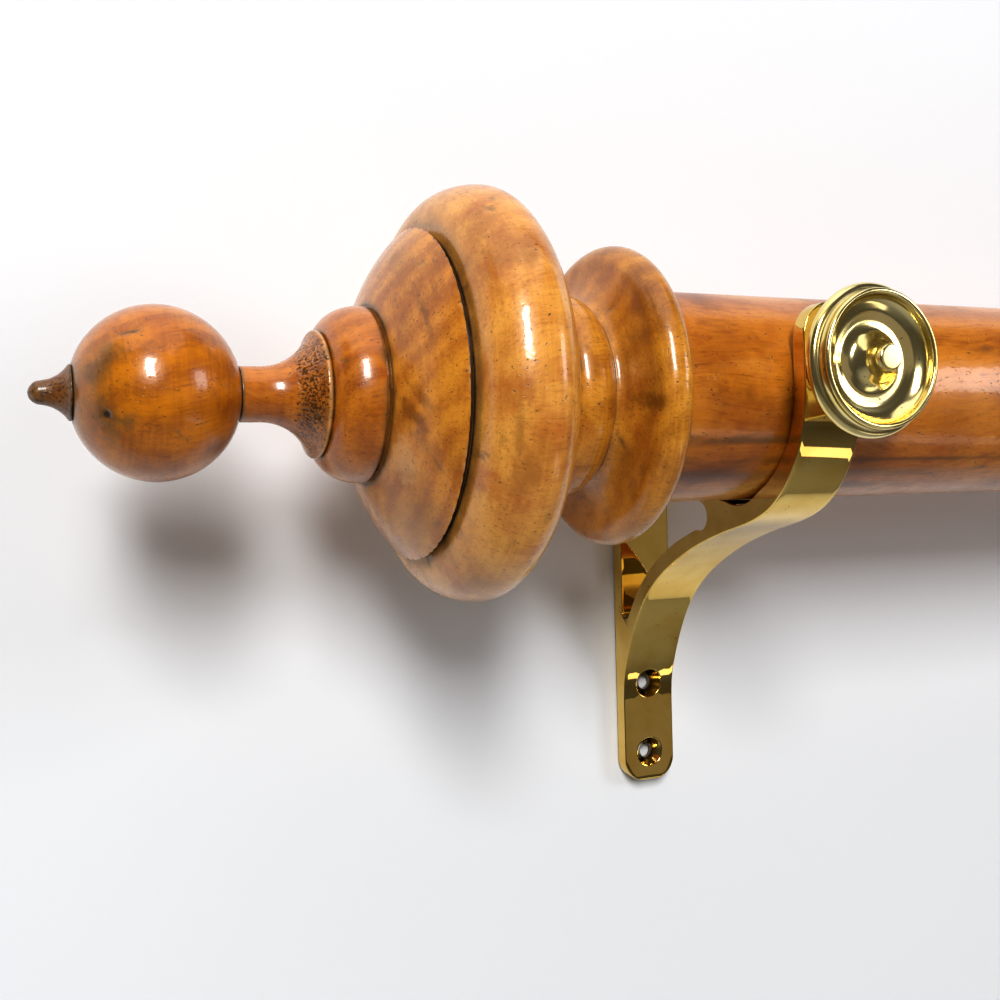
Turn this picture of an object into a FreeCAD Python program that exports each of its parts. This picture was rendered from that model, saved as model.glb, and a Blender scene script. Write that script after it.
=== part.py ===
"""Wooden curtain pole with two turned finials, held by two cast brass wall brackets.

Millimetres, +Z up. X runs along the pole, -Y points into the room and the wall is the plane Y = 0.
The origin is on the wall, half way along the pole, at the middle of the four lower screw holes.
"""
import FreeCAD, Part
import os
from math import cos, radians, sin
from FreeCAD import Vector

# ---- overall ----
pole_d = 63.5              # diameter of the pole
pole_len = 1200.0          # pole from shoulder to shoulder of the finials
projection = 76.0          # wall to the pole's axis
axis_height = 112.0        # pole's axis above the middle of the lower screw holes
bracket_inset = 48.0       # pole's end to the middle of a bracket

# ---- clearances ----
seat_gap = 0.45            # cradle to pole
glue_gap = 0.05            # round each tenon and dowel that is glued
spigot_gap = 0.08          # round the dowel where it slides into the pole
shoulder_gap = 0.1         # finial's shoulder to the pole's end
thread_gap = 0.08          # clamp screw to its tapped hole
end_gap = 0.6              # bottom of a blind hole to the tenon's end

# ---- brass bracket ----
strap_w = 20.5             # width of plate, arm, cradle and lug
plate_t = 5.5              # wall plate
lug_t = 5.3                # front lug that carries the clamp screw
floor_t = 7.4              # cradle below the pole
horn_t = 4.9               # back horn of the cradle
arm_t = 5.7                # arm between plate and cradle
arm_root_t = 5.2           # arm beside the horn's root
arm_drop = 2.0             # arm's start below the cradle's floor
plate_foot = 23.0          # lower end of the plate, below the origin
plate_top = 142.0          # upper end of the plate, above the origin
lug_rise = 25.0            # top of the lug above the pole's axis
horn_rise = 6.0            # top of the horn above the pole's axis
foot_corner_r = 8.0        # corners at the plate's foot
top_corner_r = 10.0        # corners at the plate's top and the lug's top
arm_foot = 6.0             # where the arm has become the plate, above the origin
blend_t = 6.0              # cradle where the lug runs into it
lug_angle = 12.0           # round the pole from the front: where the lug's straight face ends
blend_angle = 30.0         # where the lug has run into the cradle
floor_angle = 58.0         # where the cradle has its full thickness
root_angle = 119.0         # where the horn leaves the arm
root_hollow = 5.3          # depth of the hollow between horn and arm
notch_depth = 1.5          # round floor of the notch between arm and plate
relief_w = 17.0            # hollow in the cradle's floor, front to back
relief_depth = 1.3         # how far it goes below the cradle's round
relief_y = -5.0            # middle of the hollow, from the pole's axis

# ---- sweep of the arm, as shares of the way across to the plate and of the way down ----
arm_under = ((0.04, 0.0), (0.44, 0.149), (0.773, 0.40), (0.943, 0.714), (0.99, 0.87), (1.0, 1.0))
arm_root = (0.265, 0.08)
arm_upper = ((0.44, 0.149), (0.66, 0.28), (0.773, 0.40), (0.865, 0.535))

# ---- wood-screw holes in the plate, No. 10 countersunk ----
hole_spacing = 25.4        # between the two lower holes of a plate
top_hole_drop = 10.0       # upper hole below the plate's top
hole_r = 2.6
csk_r = 5.1                # mouth of the countersink
csk_depth = 2.5
csk_clear = 6.0            # how far in front of the plate the countersink is kept free

# ---- clamp screw and knob ----
screw_r = 3.175            # quarter inch
screw_rise = 6.2           # screw's axis above the pole's axis
tip_gap = 1.0              # screw's tip to the pole, backed off
tip_chamfer = 0.6
knob_standoff = 21.0       # lug's face to the plane of the knob's rim
knob_r = 21.5              # back bead
rim_r = 19.4               # front rim
rim_lip = 1.8              # width of the rim's round
dish_r = 9.0               # foot of the dish round the boss
dish_depth = 5.0
boss_r = 3.2               # flat end of the boss
boss_proud = 2.8           # boss in front of the rim
hub_r = 6.8
hub_back = 6.0             # hub's back face in front of the lug
boss_edge = 0.6            # round of the boss's end
bead_w = 3.8               # back bead, along the screw
waist_drop = 0.5           # dip between back bead and rim
bead_front = 3.6           # front of the back bead behind the rim's plane
hub_bore_depth = 9.0

# ---- finial: lengths along the pole, from its end outwards ----
base_len = 33.3
ring_len = 33.2
dome_len = 14.4
stem_len = 34.45
ball_len = 40.8
tip_len = 10.05

# ---- finial: base ----
flange_r = 44.0
flange_back_r = 35.0       # at the shoulder
flange_back_w = 6.0
flange_front_w = 6.0
flange_front_drop = 5.5
cove_r = 26.4
cove_w = 5.0
quirk_w = 0.5              # narrow groove beside the bead
bead_r = 29.5
bead_foot_r = 26.0
bead_len = 12.0
fillet_r = 31.0            # thin disc against the big ring
fillet_w = 2.8

# ---- finial: big ring ----
ring_r = 58.0
ring_neck_r = 31.5
ring_neck_w = 3.2
ring_back_w = 14.0
ring_front_w = 15.5
ring_front_drop = 12.5

# ---- finial: dome ----
groove_r = 43.2            # floor of the deep groove between dome and ring
groove_w = 1.6
dome_r = 45.6
dome_mid_r = 35.8
dome_mid = 9.2             # from the ring to where the dome has its middle radius
dome_front_r = 24.0

# ---- finial: stem with its collar ----
collar_foot_r = 22.8
collar_foot_w = 1.0
collar_r = 24.0
collar_land = 0.7
collar_len = 11.2
collar_nose_r = 16.0
lip_r = 17.2
lip_w = 2.1
lip_front_r = 16.2
neck_r = 7.4
neck_len = 5.85
flare_mid = 5.2            # from the lip to the middle of the flare
flare_mid_r = 9.94

# ---- finial: ball and tip ----
ball_r = 22.5
tip_base_r = 7.1
tip_rim_w = 1.3
tip_neck_r = 3.3
tip_nose_r = 3.0
tip_cove_w = 4.4
tip_nose_w = 2.9

# ---- hidden joints ----
spigot_r = 8.0
spigot_in_pole = 40.0
spigot_in_dome = 6.0
stem_tenon_r = 8.0
stem_tenon_len = 7.0
ball_tenon_r = 4.0
ball_tenon_len = 11.0
tip_peg_r = 2.5
tip_peg_len = 8.0

# ---- what follows from them ----
pole_r = pole_d / 2
pole_y = -projection
cradle_r = pole_r + seat_gap
plate_face = projection - plate_t
quarter = 0.5523           # Bezier handle of a quarter of an ellipse
margin = 1.0               # overrun of a cutting tool
X_AXIS = Vector(1, 0, 0)
Y_AXIS = Vector(0, 1, 0)
Z_AXIS = Vector(0, 0, 1)


def line(start, end):
    return Part.LineSegment(start, end).toShape()


def arc(start, middle, end):
    return Part.Arc(start, middle, end).toShape()


def elliptic(start, corner, end):
    """A quarter of an ellipse that leaves start towards corner and reaches end from corner."""
    curve = Part.BezierCurve()
    near = start + (corner - start) * quarter
    far = end + (corner - end) * quarter
    curve.setPoles([start, near, far, end])
    return curve.toShape()


def outline(start, steps):
    """Edges from start through the steps, given as the points each one needs."""
    kinds = {"line": line, "arc": arc, "elliptic": elliptic}
    edges = []
    here = start
    for kind, *points in steps:
        edges.append(kinds[kind](here, *points))
        here = points[-1]
    edges.append(line(here, start))
    return edges


def turned(start, steps):
    """Revolve an outline of (distance along the axis, radius) about the X axis."""
    start_point = Vector(*start)
    step_points = []
    for kind, *points in steps:
        step_points.append((kind, *[Vector(*p) for p in points]))
    face = Part.Face(Part.Wire(outline(start_point, step_points)))
    return face.revolve(Vector(0, 0, 0), X_AXIS, 360)


def rod(radius, begin, end):
    """A cylinder on the X axis."""
    return Part.makeCylinder(radius, end - begin, Vector(begin, 0, 0), X_AXIS)


# ---- finial, built with the pole's end at X = 0 and its own tip towards +X ----
base_end = base_len
ring_end = base_end + ring_len
dome_end = ring_end + dome_len
stem_end = dome_end + stem_len
ball_end = stem_end + ball_len
tip_end = ball_end + tip_len


def spigot_bore():
    return rod(spigot_r + glue_gap, -margin, ring_end + margin)


def base():
    cove_at = flange_back_w + flange_front_w
    cove_top = flange_r - flange_front_drop
    bead_at = cove_at + cove_w + quirk_w
    bead_mid = bead_at + bead_len / 2
    bead_to = bead_at + bead_len
    fillet_at = base_len - fillet_w
    shape = turned((shoulder_gap, 0), [
        ("line", (shoulder_gap, flange_back_r)),
        ("elliptic", (shoulder_gap, flange_r), (flange_back_w, flange_r)),
        ("elliptic", (cove_at, flange_r), (cove_at, cove_top)),
        ("elliptic", (cove_at, cove_r), (cove_at + cove_w, cove_r)),
        ("line", (cove_at + cove_w, bead_foot_r)),
        ("line", (bead_at, bead_foot_r)),
        ("elliptic", (bead_at, bead_r), (bead_mid, bead_r)),
        ("elliptic", (bead_to, bead_r), (bead_to, bead_foot_r)),
        ("line", (fillet_at, bead_foot_r)),
        ("line", (fillet_at, fillet_r)),
        ("line", (base_end, fillet_r)),
        ("line", (base_end, 0)),
    ])
    return shape.cut(spigot_bore())


def big_ring():
    neck_at = base_end + ring_neck_w
    crest_at = neck_at + ring_back_w
    front_at = crest_at + ring_front_w
    shape = turned((base_end, 0), [
        ("line", (base_end, ring_neck_r)),
        ("line", (neck_at, ring_neck_r)),
        ("elliptic", (neck_at, ring_r), (crest_at, ring_r)),
        ("elliptic", (front_at, ring_r), (front_at, ring_r - ring_front_drop)),
        ("line", (ring_end, groove_r)),
        ("line", (ring_end, 0)),
    ])
    return shape.cut(spigot_bore())


def dome():
    edge_at = ring_end + groove_w
    shape = turned((ring_end, 0), [
        ("line", (ring_end, groove_r)),
        ("line", (edge_at, groove_r)),
        ("line", (edge_at, dome_r)),
        ("arc", (ring_end + dome_mid, dome_mid_r), (dome_end, dome_front_r)),
        ("line", (dome_end, 0)),
    ])
    shape = shape.cut(rod(spigot_r + glue_gap, ring_end - margin, ring_end + spigot_in_dome + end_gap))
    return shape.cut(rod(stem_tenon_r + glue_gap, dome_end - stem_tenon_len - end_gap, dome_end + margin))


def stem():
    collar_at = dome_end + collar_foot_w
    collar_to = collar_at + collar_land + collar_len
    lip_to = collar_to + lip_w
    neck_at = stem_end - neck_len
    shape = turned((dome_end, 0), [
        ("line", (dome_end, collar_foot_r)),
        ("line", (collar_at, collar_foot_r)),
        ("line", (collar_at, collar_r)),
        ("line", (collar_at + collar_land, collar_r)),
        ("elliptic", (collar_to, collar_r), (collar_to, collar_nose_r)),
        ("arc", (collar_to + lip_w / 2, lip_r), (lip_to, lip_front_r)),
        ("arc", (lip_to + flare_mid, flare_mid_r), (neck_at, neck_r)),
        ("line", (stem_end, neck_r)),
        ("line", (stem_end, 0)),
    ])
    shape = shape.fuse(rod(stem_tenon_r, dome_end - stem_tenon_len, dome_end))
    shape = shape.fuse(rod(ball_tenon_r, stem_end, stem_end + ball_tenon_len))
    return shape.removeSplitter()


def ball():
    shape = turned((stem_end, 0), [
        ("line", (stem_end, neck_r)),
        ("arc", (stem_end + ball_len / 2, ball_r), (ball_end, tip_base_r)),
        ("line", (ball_end, 0)),
    ])
    shape = shape.cut(rod(ball_tenon_r + glue_gap, stem_end - margin, stem_end + ball_tenon_len + end_gap))
    return shape.cut(rod(tip_peg_r + glue_gap, ball_end - tip_peg_len - end_gap, ball_end + margin))


def tip_button():
    rim_at = ball_end + tip_rim_w
    cove_to = rim_at + tip_cove_w
    nose_at = tip_end - tip_nose_w
    shape = turned((ball_end, 0), [
        ("line", (ball_end, tip_base_r)),
        ("line", (rim_at, tip_base_r)),
        ("elliptic", (rim_at, tip_neck_r), (cove_to, tip_neck_r)),
        ("line", (nose_at, tip_nose_r)),
        ("elliptic", (tip_end, tip_nose_r), (tip_end, 0)),
    ])
    return shape.fuse(rod(tip_peg_r, ball_end - tip_peg_len, ball_end)).removeSplitter()


def spigot():
    return rod(spigot_r, -spigot_in_pole, ring_end + spigot_in_dome)


def pole():
    shape = rod(pole_r, -pole_len / 2, pole_len / 2)
    depth = spigot_in_pole + end_gap
    for end in (-pole_len / 2, pole_len / 2 - depth):
        shape = shape.cut(rod(spigot_r + spigot_gap, end, end + depth))
    return shape


# ---- bracket, built round the pole's axis at Y = Z = 0 ----
def side(y, z):
    """A point of the bracket's side outline."""
    return Vector(0, y, z)


def around(radius, angle):
    """A point round the pole's axis: 0 degrees is the front, 90 the bottom, 180 the back."""
    return side(-radius * cos(radians(angle)), -radius * sin(radians(angle)))


def arm_point(across, down):
    """A point under the arm, as shares of the way from the cradle's floor to the plate's face."""
    top = -(cradle_r + floor_t + arm_drop)
    bottom = arm_foot - axis_height
    return side(plate_face * across, top + (bottom - top) * down)


def under_curve():
    """The bracket's front and lower side: down the lug, under the cradle and on to the plate."""
    points = [
        around(cradle_r + lug_t, 0),
        around(cradle_r + lug_t, lug_angle),
        around(cradle_r + blend_t, blend_angle),
        around(cradle_r + floor_t, floor_angle),
    ]
    points += [arm_point(across, down) for across, down in arm_under]
    curve = Part.BSplineCurve()
    curve.interpolate(Points=points)
    return curve


def upper_point(curve, under, thickness):
    """The point of the arm's upper side that lies over the given point of its lower side."""
    at = curve.parameter(under)
    tangent = curve.tangent(at)[0]
    normal = side(-tangent.z, tangent.y)
    return curve.value(at) + normal * thickness


def upper_curve(curve):
    """The arm's upper side, from the root of the horn to the notch at the plate."""
    points = [upper_point(curve, arm_point(*arm_root), arm_root_t)]
    points += [upper_point(curve, arm_point(across, down), arm_t) for across, down in arm_upper]
    upper = Part.BSplineCurve()
    upper.interpolate(Points=points)
    return upper


def cradle_floor():
    """The cradle's inside from the horn to the lug, with the hollow in its floor."""
    half = relief_w / 2
    front = side(relief_y - half, -(cradle_r ** 2 - (relief_y - half) ** 2) ** 0.5)
    back = side(relief_y + half, -(cradle_r ** 2 - (relief_y + half) ** 2) ** 0.5)
    deep = side(relief_y, -(cradle_r ** 2 - relief_y ** 2) ** 0.5 - relief_depth)
    return [
        arc(around(cradle_r, 180), around(cradle_r, 140), back),
        arc(back, deep, front),
        arc(front, around(cradle_r, 40), around(cradle_r, 0)),
    ]


def bracket_outline():
    under = under_curve()
    upper = upper_curve(under)
    horn_root = upper.value(upper.FirstParameter)
    notch_front = upper.value(upper.LastParameter)
    notch_back = side(plate_face, notch_front.z)
    notch_floor = side((notch_front.y + plate_face) / 2, notch_front.z - notch_depth)
    foot = -axis_height - plate_foot
    top = plate_top - axis_height
    horn_out = cradle_r + horn_t
    horn_side = around(horn_out, root_angle)
    chord = horn_root - horn_side
    hollow = (horn_root + horn_side) / 2 + side(chord.z, -chord.y).normalize() * root_hollow
    edges = [under.toShape()]
    edges += [line(arm_point(1.0, 1.0), side(plate_face, foot))]
    edges += [line(side(plate_face, foot), side(projection, foot))]
    edges += [line(side(projection, foot), side(projection, top))]
    edges += [line(side(projection, top), side(plate_face, top))]
    edges += [line(side(plate_face, top), notch_back)]
    edges += [arc(notch_back, notch_floor, notch_front)]
    edges += [upper.toShape()]
    edges += [arc(horn_root, hollow, horn_side)]
    edges += [arc(horn_side, around(horn_out, (root_angle + 180) / 2), around(horn_out, 180))]
    edges += [line(side(horn_out, 0), side(horn_out, horn_rise - horn_t / 2))]
    edges += [arc(side(horn_out, horn_rise - horn_t / 2), side(cradle_r + horn_t / 2, horn_rise),
                  side(cradle_r, horn_rise - horn_t / 2))]
    edges += [line(side(cradle_r, horn_rise - horn_t / 2), side(cradle_r, 0))]
    edges += cradle_floor()
    edges += [line(side(-cradle_r, 0), side(-cradle_r, lug_rise))]
    edges += [line(side(-cradle_r, lug_rise), side(-cradle_r - lug_t, lug_rise))]
    edges += [line(side(-cradle_r - lug_t, lug_rise), side(-cradle_r - lug_t, 0))]
    return edges


def corner_waste(y_from, y_to, z_end, radius, way):
    """What rounds the two corners of a strap's end; way is 1 for an upper end, -1 for a lower."""
    half = strap_w / 2
    depth = y_to - y_from
    block = Part.makeBox(strap_w + 2 * margin, depth, radius + margin,
                         Vector(-half - margin, y_from, 0))
    keep = Part.makeBox(strap_w - 2 * radius, depth, 2 * radius, Vector(radius - half, y_from, -radius))
    for x in (radius - half, half - radius):
        keep = keep.fuse(Part.makeCylinder(radius, depth, Vector(x, y_from, 0), Y_AXIS))
    waste = block.cut(keep)
    if way < 0:
        waste.rotate(Vector(0, 0, 0), Y_AXIS, 180)
    waste.translate(Vector(0, 0, z_end - way * radius))
    return waste


def screw_hole(z):
    """A countersunk hole through the plate, kept free in front of it."""
    bore = Part.makeCylinder(hole_r, plate_t + 2 * margin, Vector(0, plate_face - margin, z), Y_AXIS)
    mouth = Part.makeCone(csk_r, hole_r, csk_depth, Vector(0, plate_face, z), Y_AXIS)
    way_in = Part.makeCylinder(csk_r, csk_clear, Vector(0, plate_face - csk_clear, z), Y_AXIS)
    return bore.fuse(mouth).fuse(way_in)


def bracket():
    face = Part.Face(Part.Wire(bracket_outline()))
    face.translate(Vector(-strap_w / 2, 0, 0))
    shape = face.extrude(Vector(strap_w, 0, 0))
    foot = -axis_height - plate_foot
    top = plate_top - axis_height
    shape = shape.cut(corner_waste(plate_face - margin, projection + margin, foot, foot_corner_r, -1))
    shape = shape.cut(corner_waste(plate_face - margin, projection + margin, top, top_corner_r, 1))
    lug_face = -cradle_r - lug_t
    shape = shape.cut(corner_waste(lug_face - margin, margin - cradle_r, lug_rise, top_corner_r, 1))
    for z in (-axis_height - hole_spacing / 2, -axis_height + hole_spacing / 2, top - top_hole_drop):
        shape = shape.cut(screw_hole(z))
    tapped = Part.makeCylinder(screw_r + thread_gap, lug_t + 2 * margin,
                               Vector(0, lug_face - margin, screw_rise), Y_AXIS)
    return shape.cut(tapped)


# ---- clamp, turned on the X axis with +X into the room, then set on the lug ----
def knob():
    rim = knob_standoff
    bead_to = rim - bead_front
    bead_mid = bead_to - bead_w / 2
    bead_at = bead_to - bead_w
    bead_foot = knob_r - bead_w / 2
    hub_to = (hub_back + bead_at) / 2
    front = rim + boss_proud
    diagonal = boss_edge * sin(radians(45))
    shape = turned((hub_back, 0), [
        ("line", (hub_back, hub_r)),
        ("line", (hub_to, hub_r)),
        ("elliptic", (bead_at, hub_r), (bead_at, bead_foot)),
        ("arc", (bead_mid, knob_r), (bead_to, bead_foot)),
        ("arc", ((bead_to + rim) / 2, bead_foot - waist_drop), (rim - rim_lip / 2, rim_r)),
        ("arc", (rim, rim_r - rim_lip / 2), (rim - rim_lip / 2, rim_r - rim_lip)),
        ("elliptic", (rim - dish_depth, rim_r - rim_lip), (rim - dish_depth, dish_r)),
        ("elliptic", (rim - dish_depth, boss_r + boss_edge), (front - boss_edge, boss_r + boss_edge)),
        ("arc", (front - boss_edge + diagonal, boss_r + diagonal), (front, boss_r)),
        ("line", (front, 0)),
    ])
    return shape.cut(rod(screw_r + glue_gap, hub_back - margin, hub_back + hub_bore_depth + end_gap))


def clamp_screw():
    """The stud from its chamfered tip beside the pole to its end inside the knob."""
    pole_face = (pole_r ** 2 - screw_rise ** 2) ** 0.5
    tip = pole_face + tip_gap - cradle_r - lug_t
    return turned((tip, 0), [
        ("line", (tip, screw_r - tip_chamfer)),
        ("line", (tip + tip_chamfer, screw_r)),
        ("line", (hub_back + hub_bore_depth, screw_r)),
        ("line", (hub_back + hub_bore_depth, 0)),
    ])


def save(shape, name):
    """Check the solid and write it as parts/NAME.step."""
    if not shape.isValid() or len(shape.Solids) != 1:
        raise RuntimeError(name + " is not one valid solid")
    shape.Solids[0].exportStep("parts/" + name + ".step")


def save_finial(name, turn):
    """Set a finial on the pole's right end, or by a half turn on its left end."""
    pieces = {"base": base(), "big_ring": big_ring(), "dome": dome(), "stem": stem(),
              "ball": ball(), "tip_button": tip_button(), "spigot": spigot()}
    for piece_name, shape in pieces.items():
        shape.translate(Vector(pole_len / 2, pole_y, axis_height))
        if turn:
            shape.rotate(Vector(0, pole_y, 0), Z_AXIS, 180)
        save(shape, name + "_" + piece_name)


def save_bracket(name, x):
    """Set a bracket with its clamp screw and knob at x along the pole."""
    frame = bracket()
    frame.translate(Vector(x, pole_y, axis_height))
    save(frame, name + "_bracket")
    lug_face = pole_y - cradle_r - lug_t
    for piece_name, shape in (("clamp_screw", clamp_screw()), ("clamp_knob", knob())):
        shape.rotate(Vector(0, 0, 0), Z_AXIS, -90)
        shape.translate(Vector(x, lug_face, axis_height + screw_rise))
        save(shape, name + "_" + piece_name)


def main():
    os.makedirs("parts", exist_ok=True)
    rail = pole()
    rail.translate(Vector(0, pole_y, axis_height))
    save(rail, "pole")
    bracket_x = pole_len / 2 - bracket_inset
    save_bracket("left", -bracket_x)
    save_bracket("right", bracket_x)
    save_finial("left", True)
    save_finial("right", False)


main()
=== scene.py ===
"""Turned hardwood curtain pole with two finials, carried by two polished brass wall brackets.

Metres in Blender, in the same frame as the CAD: X along the pole, -Y into the room, +Z up, the wall at Y = 0.
Sizes in the classes below are millimetres. Turned work is told as (distance along its axis, radius).
"""

import logging
import math
from dataclasses import dataclass, field
from enum import Enum
from typing import Sequence

import bmesh
import bpy
import numpy as np
from mathutils import Matrix, Vector


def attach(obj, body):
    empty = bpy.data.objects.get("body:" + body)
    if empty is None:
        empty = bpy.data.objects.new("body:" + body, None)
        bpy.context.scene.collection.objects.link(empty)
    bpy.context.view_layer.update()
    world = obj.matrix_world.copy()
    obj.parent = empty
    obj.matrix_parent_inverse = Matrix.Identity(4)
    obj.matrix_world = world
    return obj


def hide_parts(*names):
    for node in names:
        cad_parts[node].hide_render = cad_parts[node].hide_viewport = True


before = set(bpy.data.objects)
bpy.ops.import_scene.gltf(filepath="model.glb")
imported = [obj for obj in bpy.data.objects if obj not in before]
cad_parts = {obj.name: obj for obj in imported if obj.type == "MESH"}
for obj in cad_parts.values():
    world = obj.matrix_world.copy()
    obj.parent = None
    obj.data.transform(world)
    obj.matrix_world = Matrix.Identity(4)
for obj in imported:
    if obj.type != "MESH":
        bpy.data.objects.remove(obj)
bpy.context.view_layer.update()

LOG = logging.getLogger("curtain_pole")
MM = 0.001
EVEN_STEP = 0.08           # spacing of the points that a run is rounded with
TURN_PER_STEP = 0.2        # radians a run may bend between two rows of a mesh
QUARTER = 0.5523           # Bezier handle of a quarter of an ellipse
RUN_POINTS = 97            # points of an arc or an elliptic quarter
LEAST_STEP = 0.16          # shortest step between two rows of a turned mesh
BEND_WINDOW = 9            # points that the bend of a run is averaged over
WAVES = 8                  # plane waves in a random field
MERGE = 1e-6               # metres within which vertices are one
SLIVER = 1e-7              # metres below which an edge is dissolved
BANDS = 0.314              # a wave texture's scale times the distance between its bands, in metres
FLAT_FROM = 8              # faces with this many sides are flat, and smaller ones are shaded smooth

POLE_R = 31.75
POLE_HALF = 600.0
POLE_Y = -76.0
POLE_Z = 112.0
CRADLE_GAP = 0.45
LUG_T = 5.3
SCREW_Z = 6.2              # clamp screw above the pole's axis
SPIGOT_R = 8.0
SPIGOT_IN_POLE = 40.0
GLUE_GAP = 0.05


class Facing(Enum):
    """The way a turned piece's axis points."""

    LEFT = (-1.0, 0.0, 0.0)
    RIGHT = (1.0, 0.0, 0.0)
    ROOM = (0.0, -1.0, 0.0)


# ---------------------------------------------------------------- runs of points

def line(start: Sequence[float], end: Sequence[float]) -> np.ndarray:
    """A straight run.

    Args:
        start: first point.
        end: last point.

    Returns:
        The two points.
    """
    return np.array([start, end], float)


def arc(start: Sequence[float], middle: Sequence[float], end: Sequence[float]) -> np.ndarray:
    """A circle's arc through three points: centre from the two chords' bisectors, then equal angles.

    Args:
        start: first point.
        middle: a point between the ends.
        end: last point.

    Returns:
        Points along the arc.
    """
    a, b, c = (np.array(p, float) for p in (start, middle, end))
    centre = np.linalg.solve(2 * np.array([b - a, c - a]), [b @ b - a @ a, c @ c - a @ a])
    angle = [math.atan2(*(p - centre)[::-1]) for p in (a, b, c)]
    way = 1 if (angle[1] - angle[0]) % math.tau < (angle[2] - angle[0]) % math.tau else -1
    sweep = ((angle[2] - angle[0]) * way) % math.tau * way
    turns = angle[0] + sweep * np.linspace(0, 1, RUN_POINTS)
    radius = np.linalg.norm(a - centre)
    return centre + radius * np.column_stack([np.cos(turns), np.sin(turns)])


def elliptic(start: Sequence[float], corner: Sequence[float], end: Sequence[float]) -> np.ndarray:
    """A quarter of an ellipse as a cubic Bezier whose handles lie towards the corner.

    Args:
        start: first point.
        corner: where the tangents at both ends meet.
        end: last point.

    Returns:
        Points along the quarter.
    """
    a, k, b = (np.array(p, float) for p in (start, corner, end))
    near, far = a + (k - a) * QUARTER, b + (k - b) * QUARTER
    t = np.linspace(0, 1, RUN_POINTS)[:, None]
    return a * (1 - t) ** 3 + 3 * near * t * (1 - t) ** 2 + 3 * far * t ** 2 * (1 - t) + b * t ** 3


def smooth_curve(points: Sequence[Sequence[float]], count: int = 241) -> np.ndarray:
    """A natural cubic spline: second derivatives solved from the tridiagonal system of the chord lengths.

    Args:
        points: the points that it passes through.
        count: how many points come back.

    Returns:
        Points along the curve.
    """
    p = np.array(points, float)
    t = np.r_[0, np.cumsum(np.linalg.norm(np.diff(p, axis=0), axis=1))]
    h = np.diff(t)
    n = len(p)
    system = np.eye(n)
    right = np.zeros_like(p)
    inner = np.arange(1, n - 1)
    system[inner, inner - 1] = h[:-1]
    system[inner, inner] = 2 * (h[:-1] + h[1:])
    system[inner, inner + 1] = h[1:]
    slope = np.diff(p, axis=0) / h[:, None]
    right[1:-1] = 6 * np.diff(slope, axis=0)
    m = np.linalg.solve(system, right)
    at = np.linspace(0, t[-1], count)
    k = np.clip(np.searchsorted(t, at, side="right") - 1, 0, n - 2)
    a, b, w = (t[k + 1] - at)[:, None], (at - t[k])[:, None], h[k][:, None]
    return (m[k] * a ** 3 + m[k + 1] * b ** 3) / (6 * w) + (p[k] / w - m[k] * w / 6) * a \
        + (p[k + 1] / w - m[k + 1] * w / 6) * b


def outline(start: Sequence[float], steps: Sequence[tuple]) -> np.ndarray:
    """The run from start through the steps.

    Args:
        start: first point.
        steps: a point that a straight line leads to, or a curve with the points that it needs after the one
            where it begins.

    Returns:
        Points along the whole run.
    """
    points = [np.array([start], float)]
    for step in steps:
        here = points[-1][-1]
        run = step[0](here, *step[1:]) if callable(step[0]) else line(here, step)
        points.append(run[1:])
    return np.vstack(points)


def evened(points: np.ndarray, closed: bool) -> tuple[np.ndarray, np.ndarray]:
    """The run with points at even distances.

    Args:
        points: the run.
        closed: whether it returns to its first point.

    Returns:
        The distance of each new point along the run, and the points.
    """
    run = np.vstack([points, points[:1]]) if closed else points
    gaps = np.linalg.norm(np.diff(run, axis=0), axis=1)
    run = run[np.r_[True, gaps > 1e-9]]
    reach = np.r_[0, np.cumsum(gaps[gaps > 1e-9])]
    at = np.linspace(0, reach[-1], int(reach[-1] / EVEN_STEP) + 1)
    return at, np.column_stack([np.interp(at, reach, run[:, k]) for k in (0, 1)])


def eased(points: np.ndarray, radius: float, closed: bool) -> np.ndarray:
    """Corners rounded: each point becomes the mean of its neighbours under a bell of the given radius.

    Args:
        points: evenly spaced run.
        radius: width of the bell, about the radius that a square corner gets.
        closed: whether the run is a loop; otherwise its ends stay where they are.

    Returns:
        The rounded run.
    """
    reach = int(3 * radius / EVEN_STEP) + 1
    bell = np.exp(-0.5 * (np.arange(-reach, reach + 1) * EVEN_STEP / radius) ** 2)
    bell /= bell.sum()
    if closed:
        body = points[:-1]
        wide = np.vstack([body[-reach:], body, body[:reach]])
    else:
        before, after = 2 * points[0] - points[reach:0:-1], 2 * points[-1] - points[-2:-reach - 2:-1]
        wide = np.vstack([before, points, after])
    soft = np.column_stack([np.convolve(wide[:, k], bell, "valid") for k in (0, 1)])
    return np.vstack([soft, soft[:1]]) if closed else soft


def rows_of(points: np.ndarray, radius: float, pitch: float, closed: bool) -> np.ndarray:
    """The rows of a turned mesh: corners eased, then steps of pitch, shorter where the run bends.

    Args:
        points: the run.
        radius: rounding of its corners.
        pitch: longest step.
        closed: whether it is a loop.

    Returns:
        The rows; a loop's first row isn't repeated.
    """
    at, even = evened(points, closed)
    soft = eased(even, radius, closed)
    heading = np.unwrap(np.arctan2(*np.gradient(soft, axis=0).T[::-1]))
    bend = np.abs(np.gradient(heading, at))
    spread = np.ones(BEND_WINDOW) / BEND_WINDOW
    bend = np.convolve(np.pad(bend, BEND_WINDOW // 2, "edge"), spread, "valid")
    step = np.clip(TURN_PER_STEP / np.maximum(bend, 1e-6), LEAST_STEP, pitch)
    travel = np.r_[0, np.cumsum(np.diff(at) * 2 / (step[1:] + step[:-1]))]
    count = int(round(travel[-1]))
    picked = np.interp(np.linspace(0, travel[-1], count + 1), travel, at)
    rows = np.column_stack([np.interp(picked, at, soft[:, k]) for k in (0, 1)])
    return rows[:-1] if closed else rows


# ---------------------------------------------------------------- irregularity

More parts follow.
